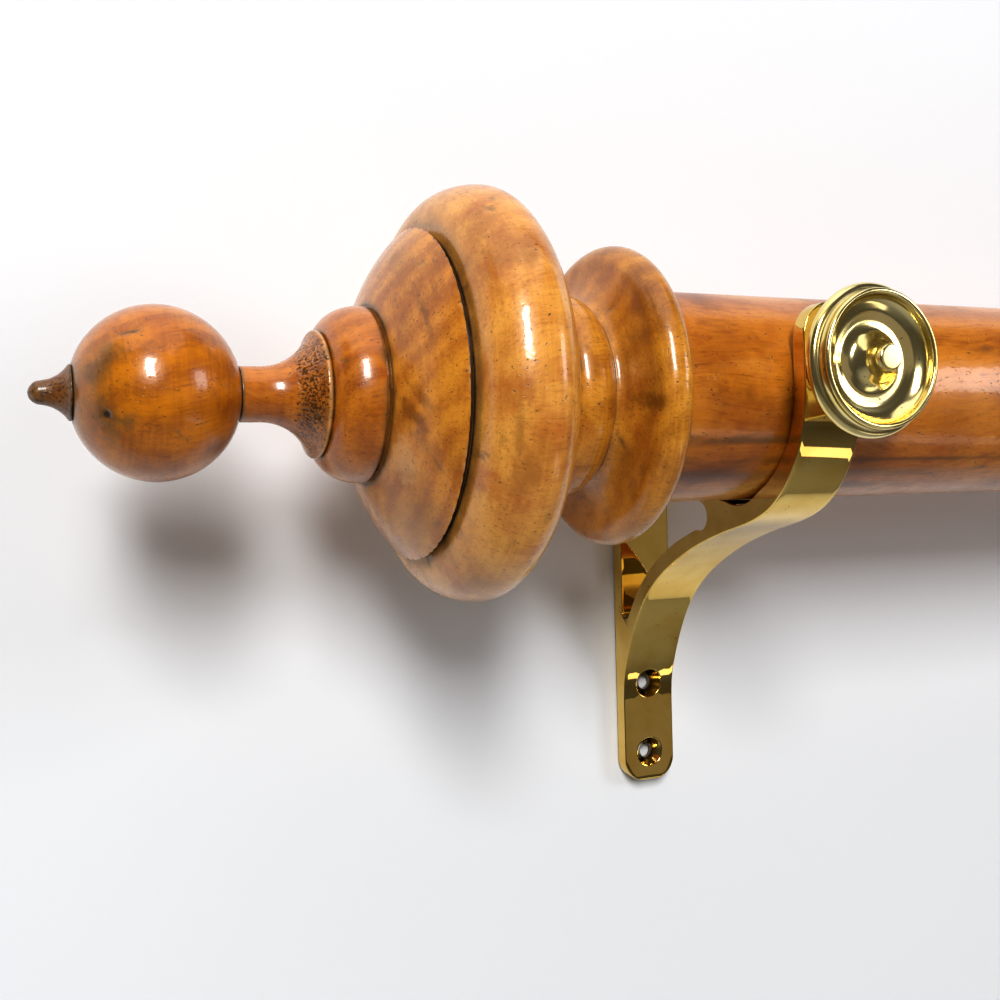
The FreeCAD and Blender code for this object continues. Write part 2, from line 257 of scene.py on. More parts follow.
def swell(points: np.ndarray, seed: int, wave_mm: float) -> np.ndarray:
    """A smooth random field: the mean of plane waves of about the given length, in all directions.

    Args:
        points: places in mm, last axis XYZ.
        seed: which field.
        wave_mm: typical distance from crest to crest.

    Returns:
        Values around 0, mostly within -1 and 1.
    """
    rng = np.random.default_rng(seed)
    way = rng.normal(size=(WAVES, 3))
    way /= np.linalg.norm(way, axis=1)[:, None]
    way *= (math.tau / wave_mm * rng.uniform(0.7, 1.4, WAVES))[:, None]
    phase = rng.uniform(0, math.tau, WAVES)
    return np.sin(points @ way.T + phase).mean(-1) * 2.0


@dataclass(frozen=True)
class Mark:
    """A knot, dent, scar or patch of dirt on a turned piece, or a patch of painted reflection.

    Its weight is a bell of the distance from its middle, with a ragged edge from a smooth random field.
    """

    along: float               # mm along the axis
    turn: float                # degrees round it: 0 at the room's side, 90 on top
    length: float              # half length along the axis, mm
    width: float               # half width round it, mm
    depth: float = 0.0         # mm into the wood
    dirt_and_painted_light: float = 0.0
    tone: float = 0.0          # below 0 darker and redder, above 0 paler
    lean: float = 0.0          # mm along the axis for each mm round it
    ragged: float = 0.35

    def weight(self, lathe: "Lathe", seed: int) -> np.ndarray:
        """How strongly each vertex takes the mark.

        Args:
            lathe: the turned piece.
            seed: which ragged edge it gets.

        Returns:
            A value from 0 to 1 for each vertex of the grid.
        """
        round_mm = ((lathe.turn - math.radians(self.turn) + math.pi) % math.tau - math.pi) * lathe.radius
        along_mm = lathe.along - self.along - self.lean * round_mm
        far = np.hypot(along_mm / self.length, round_mm / self.width)
        reach = min(self.length, self.width)
        rough = swell(lathe.raw, seed, reach * 1.6 + 1.0) + 0.7 * swell(lathe.raw, seed + 5000, reach * 0.5 + 0.6)
        far = far * (1 + self.ragged * rough)
        outer = lathe.radius > 1.0
        return np.exp(-np.abs(far) ** 2.5) * outer


@dataclass
class Lathe:
    """A turned surface on a grid: row i of the profile carried round the axis in column j.

    A vertex lies at origin + axis * along + radius * (out * cos(turn) + up * sin(turn)), less its relief
    along the profile's normal. A profile that meets the axis is closed there by a single vertex.
    """

    rows: np.ndarray
    columns: int
    origin: tuple
    facing: Facing
    closed: bool
    most_mark: float = 1.5     # most dirt, painted light or tone that marks lying on each other add up to
    relief: np.ndarray = field(init=False)
    dirt_and_painted_light: np.ndarray = field(init=False)
    tone: np.ndarray = field(init=False)
    torn: np.ndarray = field(init=False)

    def __post_init__(self) -> None:
        """Lays out the grid: distances, radii, turns and raw places."""
        axis = np.array(self.facing.value)
        out = np.array([0.0, -1.0, 0.0]) if self.facing is not Facing.ROOM else np.array([1.0, 0.0, 0.0])
        self.frame_axes = (axis, out, np.array([0.0, 0.0, 1.0]))
        turns = np.arange(self.columns) * math.tau / self.columns
        self.along, self.turn = np.meshgrid(self.rows[:, 0], turns, indexing="ij")
        self.radius = np.repeat(self.rows[:, 1:], self.columns, axis=1)
        self.raw = self.place(self.along, self.radius)
        self.relief = np.zeros(self.along.shape)
        self.dirt_and_painted_light = np.zeros(self.along.shape)
        self.tone = np.zeros(self.along.shape)
        self.torn = np.zeros(self.along.shape)

    def place(self, along: np.ndarray, radius: np.ndarray) -> np.ndarray:
        """Places in mm of grid points with these distances and radii."""
        axis, out, up = self.frame_axes
        spoke = np.cos(self.turn)[..., None] * out + np.sin(self.turn)[..., None] * up
        return np.array(self.origin) + along[..., None] * axis + radius[..., None] * spoke

    def normals(self) -> np.ndarray:
        """Outward normal of the profile at each row, as (along, radius)."""
        if self.closed:
            way = np.roll(self.rows, -1, axis=0) - np.roll(self.rows, 1, axis=0)
        else:
            way = np.gradient(self.rows, axis=0)
        way /= np.linalg.norm(way, axis=1)[:, None] + 1e-12
        return np.column_stack([-way[:, 1], way[:, 0]])

    def wear(self, marks: Sequence[Mark], seed: int) -> None:
        """Adds marks: depth to the relief, and dirt, painted reflection and tone to the finish.

        Args:
            marks: what to add.
            seed: first seed of their ragged edges.
        """
        for number, mark in enumerate(marks):
            weight = mark.weight(self, seed + number)
            self.relief += mark.depth * weight
            self.dirt_and_painted_light += mark.dirt_and_painted_light * weight
            self.tone += mark.tone * weight

    def dust_and_shade_ring(self, along: float, radius: float, spread: float, amount: float) -> None:
        """Darkening round the whole piece, thinning with the distance from one ring of it. Some rings are dust in a
        quirk or joint, and some paint shade in a hollow or beside a joint.

        Args:
            along: the ring's distance along the axis.
            radius: the ring's radius.
            spread: distance in mm over which the dirt thins to about a third.
            amount: darkening on the ring itself.
        """
        ragged = 1 + 0.5 * swell(self.raw, int(abs(along) * 10) + 5, 7.0)
        far = np.hypot(self.along - along, self.radius - radius)
        self.dirt_and_painted_light += amount * np.exp(-far / (spread * np.maximum(ragged, 0.2)))

    def mesh(self, name: str) -> bpy.types.Object:
        """Puts the grid into a new object.

        Args:
            name: the piece's name.

        Returns:
            The object, with its dirt and painted light, tone and torn grain as point attributes.
        """
        normal = self.normals()
        along = self.along - self.relief * normal[:, :1]
        radius = np.maximum(self.radius - self.relief * normal[:, 1:], 0.0)
        places = self.place(along, radius).reshape(-1, 3)
        count, columns = self.along.shape
        index = np.arange(count * columns).reshape(count, columns)
        below = index if self.closed else index[:-1]
        above = np.roll(index, -1, axis=0) if self.closed else index[1:]
        quads = np.stack([below, above, np.roll(above, -1, axis=1), np.roll(below, -1, axis=1)], axis=-1)
        faces = quads.reshape(-1, 4)
        most = self.most_mark
        values = {"dirt_and_painted_light": np.clip(self.dirt_and_painted_light, 0, most).ravel(), "tone": np.clip(self.tone, -most, most).ravel(),
                  "torn": self.torn.ravel()}
        return solid(name, places, faces.tolist(), values)


def solid(name: str, places: np.ndarray, faces: list, values: dict[str, np.ndarray]) -> bpy.types.Object:
    """An object from vertices in mm: doubles merged, so poles and seams are closed, and faces turned outwards.

    Args:
        name: the piece's name.
        places: vertices in mm.
        faces: vertex numbers of each face.
        values: point attributes by name.

    Returns:
        The object, at the origin.
    """
    mesh = bpy.data.meshes.new(name)
    mesh.from_pydata((places * MM).tolist(), [], faces)
    for key, numbers in values.items():
        mesh.attributes.new(key, "FLOAT", "POINT").data.foreach_set("value", numbers.astype(np.float32))
    work = bmesh.new()
    work.from_mesh(mesh)
    bmesh.ops.remove_doubles(work, verts=work.verts, dist=MERGE)
    bmesh.ops.dissolve_degenerate(work, edges=work.edges, dist=SLIVER)
    bmesh.ops.recalc_face_normals(work, faces=work.faces)
    for face in work.faces:
        face.smooth = len(face.verts) < FLAT_FROM
    work.to_mesh(mesh)
    work.free()
    piece = bpy.data.objects.new(name, mesh)
    bpy.context.scene.collection.objects.link(piece)
    return piece


# ---------------------------------------------------------------- finishes

def linear(hex_colour: str) -> tuple[float, float, float, float]:
    """An sRGB hex colour as linear RGBA.

    Args:
        hex_colour: such as "#C8701C".

    Returns:
        Red, green, blue and an alpha of 1.
    """
    parts = [int(hex_colour[k:k + 2], 16) / 255 for k in (1, 3, 5)]
    return (*[c / 12.92 if c <= 0.04045 else ((c + 0.055) / 1.055) ** 2.4 for c in parts], 1.0)


def add(tree: bpy.types.NodeTree, kind: str, sockets: dict | None = None, out: int | str = 0,
        **settings: object) -> bpy.types.NodeSocket | None:
    """Adds a node with its settings, socket values and links.

    Args:
        tree: the material's tree.
        kind: the node's type, without its "ShaderNode".
        sockets: input name or number to a value, or to the output socket linked into it.
        out: which output is wanted.
        settings: the node's own properties.

    Returns:
        That output, or None for a node that has none.
    """
    node = tree.nodes.new("ShaderNode" + kind)
    for key, value in settings.items():
        setattr(node, key, value)
    for key, value in (sockets or {}).items():
        if isinstance(value, bpy.types.NodeSocket):
            tree.links.new(value, node.inputs[key])
        else:
            node.inputs[key].default_value = value
    return node.outputs[out] if len(node.outputs) else None


def blank(name: str) -> tuple[bpy.types.Material, bpy.types.NodeTree]:
    """A material with an empty tree."""
    material = bpy.data.materials.new(name)
    material.use_nodes = True
    material.node_tree.nodes.clear()
    return material, material.node_tree


@dataclass(frozen=True)
class PolishedTimber:
    """Turned hardwood, stained and French polished: amber figure under a thin glossy coat of shellac.

    The figure is growth rings round an off-centre heart, drawn out along the piece, with fibres and short
    dark pores along it, fine lines that turning left in the stain, and broad red-brown clouds. Years of dust
    lie in the quirks and old dents as a matt brown grime, and round them as a greyish film in the polish. The
    same grime and film also paint shade in some hollows and beside some joints, and a reflection low on some pieces.
    """

    name: str
    light: str
    mid: str
    deep: str
    grime_and_shade: str = "#24150A"
    film: str = "#7A5A30"
    pale: str = "#E2B070"
    red: str = "#9A3E0C"
    prick: str = "#2E1708"     # the bottom of torn grain
    ring_mm: float = 9.0       # from one growth ring to the next
    fibre_mm: float = 0.8      # width of a bundle of fibres
    pore_mm: float = 0.42      # width of an open pore
    cloud_mm: float = 26.0
    heart: tuple = (30.0, -14.0)   # tree's heart from the piece's axis, along Y and Z
    tilt: float = 4.0          # degrees between the fibres and the axis
    shift: float = 0.0         # along the grain, so that no two pieces match
    gloss: float = 0.24        # roughness of the polish
    coat: float = 0.45
    mottle: float = 0.5        # strength of the broad dark clouds
    flush: float = 0.35        # strength of the red-brown clouds
    figure: float = 0.14       # strength of the growth rings
    hatching: float = 0.45     # strength of the fine lines that turning leaves in the stain
    stretch: float = 0.045     # fibre's width over its length
    pore_strength: float = 0.20
    fleck_strength: float = 0.18
    lathe_mm: float = 0.9      # from one tool mark to the next, drawn a little wide so that it shows

    def make(self) -> bpy.types.Material:
        """Builds the finish.

        Returns:
            The material.
        """
        material, tree = blank(self.name)
        here = add(tree, "TexCoord", out="Object")
        heart_y, heart_z = self.heart
        grain = add(tree, "Mapping", {
            "Vector": here, "Location": (self.shift * MM, (heart_y - POLE_Y) * MM, (heart_z - POLE_Z) * MM),
            "Rotation": (0.0, math.radians(self.tilt), math.radians(-self.tilt))})
        sway = add(tree, "TexNoise", {"Vector": grain, "Scale": 1 / 0.055, "Detail": 2.0}, out="Color")
        bent = add(tree, "VectorMath", {0: sway, 1: (0.022, 0.022, 0.022), 2: grain}, operation="MULTIPLY_ADD")
        rings = add(tree, "TexWave", {"Vector": bent, "Scale": BANDS / (self.ring_mm * MM), "Distortion": 2.2,
                                      "Detail": 3.0, "Detail Scale": 1.6},
                    out="Fac", wave_type="RINGS", rings_direction="X")
        drawn = add(tree, "Mapping", {"Vector": bent, "Scale": (self.stretch, 1.0, 1.0)})
        short = add(tree, "Mapping", {"Vector": bent, "Scale": (0.15, 1.0, 1.0)})
        round_it = add(tree, "Mapping", {"Vector": here, "Scale": (1.0, 0.07, 0.07)})
        pricked = add(tree, "Mapping", {"Vector": here, "Scale": (0.40, 1.0, 1.0)})
        fields = {"fibre": (drawn, self.fibre_mm, 3.0), "pore": (short, self.pore_mm, 1.0),
                  "stipple": (pricked, 0.62, 1.0), "cloud": (grain, self.cloud_mm, 4.0),
                  "flush": (bent, self.cloud_mm * 0.55, 3.0), "speck": (here, 0.9, 2.0),
                  "worked": (round_it, self.lathe_mm, 3.0), "peel": (here, 4.0, 2.0)}
        noise = {key: add(tree, "TexNoise", {"Vector": vector, "Scale": 1 / (size * MM), "Detail": detail,
                                             "Roughness": 0.62}, out="Fac")
                 for key, (vector, size, detail) in fields.items()}
        tone = add(tree, "Attribute", out="Fac", attribute_name="tone")
        dirt_and_painted_light = add(tree, "Attribute", out="Fac", attribute_name="dirt_and_painted_light")
        torn = add(tree, "Attribute", out="Fac", attribute_name="torn")

        weights = ((rings, self.figure), (noise["cloud"], 0.75), (noise["fibre"], 0.45),
                   (noise["worked"], self.hatching))
        figure = 0.0
        for value, weight in weights:
            figure = add(tree, "Math", {0: value, 1: weight, 2: figure}, operation="MULTIPLY_ADD")
        middle = 0.5 * sum(weight for _, weight in weights)
        darker = add(tree, "Math", {0: tone, 1: -1.0}, operation="MULTIPLY")
        ragged = add(tree, "Math", {0: noise["speck"], 1: 0.7, 2: 0.35}, operation="MULTIPLY_ADD")
        ragged = add(tree, "Math", {0: noise["cloud"], 1: 0.5, 2: ragged}, operation="MULTIPLY_ADD")
        # The dirt channel also carries painted shade and painted reflection; through held, the film and soiled layers
        # paint them.
        held = add(tree, "Math", {0: dirt_and_painted_light, 1: ragged}, operation="MULTIPLY")
        opened = add(tree, "Math", {0: torn, 1: 0.24, 2: noise["stipple"]}, operation="MULTIPLY_ADD")
        ramps = {"mid": (figure, middle - 0.26, middle + 0.26, 1.0),
                 "red": (noise["flush"], 0.50, 0.72, self.flush),
                 "deep": (noise["cloud"], 0.52, 0.80, self.mottle),
                 "fibre": (noise["fibre"], 0.56, 0.80, 0.40),
                 "pore": (noise["pore"], 0.64, 0.72, self.pore_strength),
                 "pale": (tone, 0.0, 1.0, 1.0), "dark": (darker, 0.0, 1.0, 0.9), "scar": (darker, 0.7, 1.5, 0.7),
                 "film": (held, 0.04, 0.60, 0.70), "soiled": (held, 0.45, 1.25, 0.94),
                 "fleck": (noise["speck"], 0.71, 0.77, self.fleck_strength),
                 "pricks": (opened, 0.65, 0.80, 0.8), "uneven": (noise["cloud"], 0.35, 0.75, 0.10)}
        share = {key: add(tree, "MapRange", {"Value": value, "From Min": low, "From Max": high, "To Min": 0.0,
                                             "To Max": top}, interpolation_type="SMOOTHSTEP")
                 for key, (value, low, high, top) in ramps.items()}
        colour = linear(self.light)
        layers = {"mid": self.mid, "red": self.red, "deep": self.deep, "fibre": self.deep, "pore": self.grime_and_shade,
                  "pale": self.pale, "dark": self.deep, "scar": self.grime_and_shade, "film": self.film,
                  "fleck": self.grime_and_shade, "pricks": self.prick, "soiled": self.grime_and_shade}
        for key, paint in layers.items():
            colour = add(tree, "Mix", {0: share[key], 6: colour, 7: linear(paint)}, out=2, data_type="RGBA")

        rough = add(tree, "Math", {0: share["uneven"], 1: self.gloss}, operation="ADD")
        rough = add(tree, "Math", {0: share["soiled"], 1: 0.35, 2: rough}, operation="MULTIPLY_ADD")
        height = add(tree, "Math", {0: noise["worked"], 1: 0.35}, operation="MULTIPLY")
        for key, weight in (("fibre", 0.5), ("pore", -0.35), ("peel", 1.5)):
            height = add(tree, "Math", {0: noise[key], 1: weight, 2: height}, operation="MULTIPLY_ADD")
        height = add(tree, "Math", {0: share["pricks"], 1: -2.5, 2: height}, operation="MULTIPLY_ADD")
        bump = add(tree, "Bump", {"Height": height, "Strength": 0.28, "Distance": 0.00016})
        skin = add(tree, "Bump", {"Height": noise["peel"], "Strength": 0.22, "Distance": 0.0004})
        shader = add(tree, "BsdfPrincipled", {"Base Color": colour, "Roughness": rough, "IOR": 1.5, "Normal": bump,
                                              "Coat Weight": self.coat, "Coat Roughness": 0.09, "Coat IOR": 1.52,
                                              "Coat Normal": skin})
        add(tree, "OutputMaterial", {"Surface": shader})
        return material


@dataclass(frozen=True)
class PolishedBrass:
    """Cast brass, filed, buffed and left bare: a warm yellow mirror with fine buffing lines.

    Its tone deepens where a finger has been and where polish dries in corners.
    """

    name: str
    bright: str = "#E9C873"
    warm: str = "#D9A94C"
    tarnish: str = "#4A3314"
    roughness: float = 0.03
    haze: float = 0.02         # how much rougher it is where it was handled
    buff_mm: float = 0.5       # spacing of the buffing lines, drawn wide so that they show
    along: tuple = (1.0, 0.06, 0.06)   # how far the lines are drawn out in each direction

    def make(self) -> bpy.types.Material:
        """Builds the finish.

        Returns:
            The material.
        """
        material, tree = blank(self.name)
        here = add(tree, "TexCoord", out="Object")
        drawn = add(tree, "Mapping", {"Vector": here, "Scale": self.along})
        fields = {"line": (drawn, self.buff_mm, 3.0), "haze": (here, 11.0, 3.0), "pit": (here, 1.1, 1.0)}
        noise = {key: add(tree, "TexNoise", {"Vector": vector, "Scale": 1 / (size * MM), "Detail": detail}, out="Fac")
                 for key, (vector, size, detail) in fields.items()}
        dirt_and_painted_light = add(tree, "Attribute", out="Fac", attribute_name="dirt_and_painted_light")
        ragged = add(tree, "Math", {0: noise["haze"], 1: 0.45}, operation="ADD")
        held = add(tree, "Math", {0: dirt_and_painted_light, 1: ragged}, operation="MULTIPLY")
        ramps = {"warm": (noise["haze"], 0.35, 0.75, 1.0), "held": (held, 0.15, 0.85, 0.9),
                 "spot": (noise["pit"], 0.735, 0.77, 0.7), "haze": (noise["haze"], 0.45, 0.8, self.haze)}
        share = {key: add(tree, "MapRange", {"Value": value, "From Min": low, "From Max": high, "To Min": 0.0,
                                             "To Max": top}, interpolation_type="SMOOTHSTEP")
                 for key, (value, low, high, top) in ramps.items()}
        colour = linear(self.bright)
        for key, paint in {"warm": self.warm, "held": self.tarnish, "spot": self.tarnish}.items():
            colour = add(tree, "Mix", {0: share[key], 6: colour, 7: linear(paint)}, out=2, data_type="RGBA")
        rough = add(tree, "Math", {0: share["haze"], 1: self.roughness}, operation="ADD")
        rough = add(tree, "Math", {0: share["held"], 1: 0.3, 2: rough}, operation="MULTIPLY_ADD")
        bump = add(tree, "Bump", {"Height": noise["line"], "Strength": 0.035, "Distance": 0.0001})
        shader = add(tree, "BsdfPrincipled", {"Base Color": colour, "Metallic": 1.0, "Roughness": rough,
                                              "Normal": bump})
        add(tree, "OutputMaterial", {"Surface": shader})
        return material


@dataclass(frozen=True)
class PlainGround:
    """Matt emulsion on plaster: pale, even, with the faint stipple that a roller leaves."""

    name: str
    paint: str
    one_sided: bool = False    # clear from behind, so that it never hides the back of the object

    def make(self) -> bpy.types.Material:
        """Builds the finish.

        Returns:
            The material.
        """
        material, tree = blank(self.name)
        here = add(tree, "TexCoord", out="Object")
        stipple = add(tree, "TexNoise", {"Vector": here, "Scale": 1 / 0.006, "Detail": 2.0}, out="Fac")
        bump = add(tree, "Bump", {"Height": stipple, "Strength": 0.08, "Distance": 0.0005})
        surface = add(tree, "BsdfPrincipled", {"Base Color": linear(self.paint), "Roughness": 0.85, "Normal": bump})
        if self.one_sided:
            behind = add(tree, "NewGeometry", out="Backfacing")
            clear = add(tree, "BsdfTransparent")
            surface = add(tree, "MixShader", {0: behind, 1: surface, 2: clear})
        add(tree, "OutputMaterial", {"Surface": surface})
        return material


class Timber(Enum):
    """The timbers, one for each turned piece, because each was cut from its own blank."""

    POLE = PolishedTimber("polished_hardwood_pole", "#D28626", "#A85E0E", "#5E2A06", ring_mm=16.0, heart=(60.0, 40.0),
                          tilt=1.0, coat=0.40, gloss=0.28, mottle=0.55, figure=0.22, hatching=0.0, stretch=0.010,
                          fibre_mm=1.1, flush=0.3, pore_strength=0.15, fleck_strength=0.12)
    BASE = PolishedTimber("polished_hardwood_base", "#DE9C34", "#B0701E", "#5A2F0A", ring_mm=8.0, heart=(34.0, 22.0),
                          tilt=6.0, shift=90.0)
    RING = PolishedTimber("polished_hardwood_ring", "#F0B054", "#CE8838", "#78460F", ring_mm=10.0,
                          heart=(70.0, 10.0), tilt=9.0, shift=210.0, mottle=0.45, flush=0.6, red="#B4561A")
    DOME = PolishedTimber("polished_hardwood_dome", "#E29A34", "#BA701E", "#6E3C0E", ring_mm=7.0,
                          heart=(12.0, 30.0), tilt=14.0, shift=330.0, mottle=0.5, figure=0.2, flush=0.4,
                          red="#A8500E")
    STEM = PolishedTimber("polished_hardwood_stem", "#DA8A28", "#A85C14", "#522507", ring_mm=6.0, heart=(26.0, 8.0),
                          tilt=3.0, shift=480.0, mottle=0.5, hatching=0.2, stretch=0.03)
    BALL = PolishedTimber("polished_hardwood_ball", "#D6840E", "#AA6008", "#562806", ring_mm=7.0, heart=(18.0, 34.0),
                          tilt=16.0, shift=610.0, mottle=0.6, figure=0.22)
    TIP = PolishedTimber("polished_hardwood_tip", "#94602A", "#6B3D14", "#331B0B", ring_mm=5.0, heart=(14.0, 9.0),
                         tilt=5.0, shift=720.0, coat=0.4, gloss=0.34, mottle=0.9)
    DOWEL = PolishedTimber("plain_beech_dowel", "#D9B480", "#C79A62", "#A67843", ring_mm=5.0, heart=(18.0, 4.0),
                           tilt=1.0, coat=0.0, gloss=0.62, mottle=0.3, flush=0.0)


class Metal(Enum):
    """The brasses."""

    BRACKET = PolishedBrass("polished_cast_brass_bracket", bright="#E7C979", warm="#DEB963", haze=0.012)
    KNOB = PolishedBrass("polished_turned_brass_knob", bright="#F6E6AC", warm="#ECD68C", roughness=0.15,
                         along=(1.0, 1.0, 1.0))
    SCREW = PolishedBrass("brass_screw", bright="#CFA552", warm="#B98A3A", roughness=0.2)


MADE: dict[Enum, bpy.types.Material] = {}


def dress(piece: bpy.types.Object, finish: Enum) -> None:
    """Gives a piece its finish, made once.

    Args:
        piece: the object.
        finish: which timber or metal.
    """
    if finish not in MADE:
        MADE[finish] = finish.value.make()
    piece.data.materials.clear()
    piece.data.materials.append(MADE[finish])


def hand_over(piece: bpy.types.Object, body: str, node: str) -> None:
    """Rides a piece on its body in place of its CAD node, and reports it.

    Args:
        piece: the object.
        body: CAD body that it moves with.
        node: CAD node that it stands for.
    """
    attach(piece, body)
    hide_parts(node)
    LOG.info("%s: %d faces on %s", piece.name, len(piece.data.polygons), body)


# ---------------------------------------------------------------- the pole

@dataclass
class Pole:
    """The pole: a long turned cylinder with a dowel hole in each end."""

    radius: float = POLE_R
    half: float = POLE_HALF
    bore_r: float = SPIGOT_R + 0.08
    bore_depth: float = SPIGOT_IN_POLE + 0.6
    edge: float = 0.5
    row_pitch: float = 4.0
    columns: int = 144
    bruises: int = 46
    streaks: int = 60

    def profile(self) -> np.ndarray:
        """Rows from the bottom of one dowel hole, over the outside, to the bottom of the other."""
        inner = self.half - self.bore_depth
        end = [(-inner, 0.0), (-inner, self.bore_r), (-self.half, self.bore_r), (-self.half, self.radius)]
        run = np.array(end + [(-u, r) for u, r in end[::-1]], float)
        return rows_of(run, self.edge, self.row_pitch, False)

    def build(self) -> None:
        """Makes the pole: a few shallow dents and a slow unevenness, all inwards."""
        lathe = Lathe(self.profile(), self.columns, (0.0, POLE_Y, POLE_Z), Facing.RIGHT, False)
        outside = lathe.radius > self.radius - 2
        lathe.relief += outside * (0.06 + 0.05 * swell(lathe.raw, 11, 90.0))
        rng = np.random.default_rng(12)
        reach = self.half - 10
        bruises = [Mark(rng.uniform(-reach, reach), rng.uniform(-180, 180), rng.uniform(2, 9), rng.uniform(1.5, 4),
                        depth=rng.uniform(0.08, 0.3), dirt_and_painted_light=rng.uniform(0, 0.6)) for _ in range(self.bruises)]
        streaks = [Mark(rng.uniform(-reach, reach), rng.uniform(-180, 180), rng.uniform(18, 70),
                        rng.uniform(0.8, 2.6), dirt_and_painted_light=rng.uniform(0.2, 0.5), tone=rng.uniform(-0.9, -0.3))
                   for _ in range(self.streaks)]
        seen = [Mark(-573.0, -27.0, 26.0, 1.5, dirt_and_painted_light=0.45, tone=-0.8), Mark(-588.0, -50.0, 16.0, 5.0, tone=-0.7),
                Mark(-480.0, -8.0, 60.0, 9.0, tone=0.25), Mark(-520.0, -40.0, 60.0, 1.2, dirt_and_painted_light=0.3, tone=-0.7)]
        lathe.wear(bruises + streaks + seen, 400)
        # Dust at each end, and a painted shadow: a dark band on the pole where the finial's base shades it.
        for end in (-self.half, self.half):
            lathe.dust_and_shade_ring(end, self.radius, 2.2, 0.9)
        piece = lathe.mesh("pole_turned")
        dress(piece, Timber.POLE)
        hand_over(piece, "pole", "pole")


# ---------------------------------------------------------------- the finials

@dataclass
class Finial:
    """A finial of six turned pieces on a dowel, told outwards from the pole's end."""

    side: str                  # "left" or "right"
    marks: dict[str, list]
    seed: int
    base_end: float = 33.3
    ring_end: float = 66.5
    dome_end: float = 80.9
    stem_end: float = 115.35
    ball_end: float = 156.15
    tip_end: float = 166.2
    dowel_in_dome: float = 6.0
    corner: float = 0.22       # rounding that polish leaves on a turned edge

    def lathe(self, run: np.ndarray, pitch: float, columns: int, closed: bool = False,
              corner: float | None = None) -> Lathe:
        """Sets a profile on the pole's axis at this finial's end of the pole.

        Args:
            run: profile.
            pitch: longest step between rows.
            columns: vertices round it.
            closed: whether the profile is a loop round a bore.
            corner: rounding, where it isn't the usual one.

        Returns:
            The grid.
        """
        facing = Facing.LEFT if self.side == "left" else Facing.RIGHT
        end = -POLE_HALF if self.side == "left" else POLE_HALF
        rows = rows_of(run, corner or self.corner, pitch, closed)
        return Lathe(rows, columns, (end, POLE_Y, POLE_Z), facing, closed)

    def finish(self, name: str, lathe: Lathe, timber: Timber, slot: str, uneven: float, dents: int,
               dust_and_shade_rings: Sequence[tuple]) -> None:
        """Darkens with dust and painted shade, wears, meshes and dresses one piece.

        Args:
            name: the piece, as in its CAD node.
            lathe: its grid.
            timber: its finish.
            slot: its material slot in the record; not used.
            uneven: depth of the slow unevenness, mm.
            dents: how many small random dents it gets.
            dust_and_shade_rings: along, radius, spread and amount of each darker ring; some are dust in quirks, some
                painted shade in hollows and beside joints.
        """
        for ring in dust_and_shade_rings:
            lathe.dust_and_shade_ring(*ring)
        rng = np.random.default_rng(self.seed + len(name))
        bore = SPIGOT_R + 1
        skin = np.clip((lathe.radius - bore) / 3, 0, 1) if lathe.closed else np.clip(lathe.radius / 3, 0, 1)
        lathe.relief += skin * uneven * (1 + swell(lathe.raw, self.seed + len(name), 34.0))
        low, high = lathe.along.min(), lathe.along.max()
        scattered = [Mark(rng.uniform(low, high), rng.uniform(-180, 180), rng.uniform(0.3, 0.8),
                          rng.uniform(0.5, 2.4), depth=rng.uniform(0.03, 0.12), dirt_and_painted_light=rng.uniform(0.05, 0.5),
                          lean=rng.uniform(-0.8, 0.8)) for _ in range(dents)]
        lathe.wear(scattered + self.marks.get(name, []), self.seed * 7)
        piece = lathe.mesh(f"{self.side}_{name}_turned")
        dress(piece, timber)
        hand_over(piece, self.side + "_finial", f"{self.side}_{name}")

    def base(self) -> None:
        """The flange, cove, bead and thin disc next to the pole."""
        bore, end = SPIGOT_R + GLUE_GAP, self.base_end
        run = outline((0.1, bore), [
            (0.1, 35.0), (elliptic, (0.1, 44.0), (6.0, 44.0)), (elliptic, (12.0, 44.0), (12.0, 38.5)),
            (elliptic, (12.0, 26.4), (17.0, 26.4)), (17.0, 26.0), (17.5, 26.0),
            (elliptic, (17.5, 29.5), (23.5, 29.5)), (elliptic, (29.5, 29.5), (29.5, 26.0)),
            (30.5, 26.0), (30.5, 31.0), (end, 31.0), (end, bore)])
        # Rings at 14.5 and 17.2 paint shade across the cove, with dust at its quirk; the ring at 0.1 paints shade on
        # the flange's back beside the pole, with dust at the joint.
        dust_and_shade_rings = ((30.3, 26.4, 1.3, 1.3), (17.2, 26.0, 0.6, 0.55), (end, 31.0, 0.6, 0.9), (14.5, 28.4, 3.2, 0.25),
                 (0.1, 37.0, 2.0, 0.8))
        self.finish("base", self.lathe(run, 0.9, 240, True), Timber.BASE, "turned_wood", 0.05, 22, dust_and_shade_rings)

    def big_ring(self) -> None:
        """The broad rounded ring."""
        bore, start, end = SPIGOT_R + GLUE_GAP, self.base_end, self.ring_end
        run = outline((start, bore), [
            (start, 31.5), (36.5, 31.5), (elliptic, (36.5, 58.0), (50.5, 58.0)),
            (elliptic, (66.0, 58.0), (66.0, 45.5)), (end, 43.2), (end, bore)])
        # The broad ring at 66.0 paints shade on the ring's face beside the dome's proud rim; the others are dust at
        # the joints.
        dust_and_shade_rings = ((start + 1.6, 31.5, 2.0, 1.0), (66.4, 43.4, 0.45, 1.4), (66.0, 46.0, 3.4, 0.36))
        self.finish("big_ring", self.lathe(run, 0.95, 288, True), Timber.RING, "ring_wood", 0.07, 46, dust_and_shade_rings)

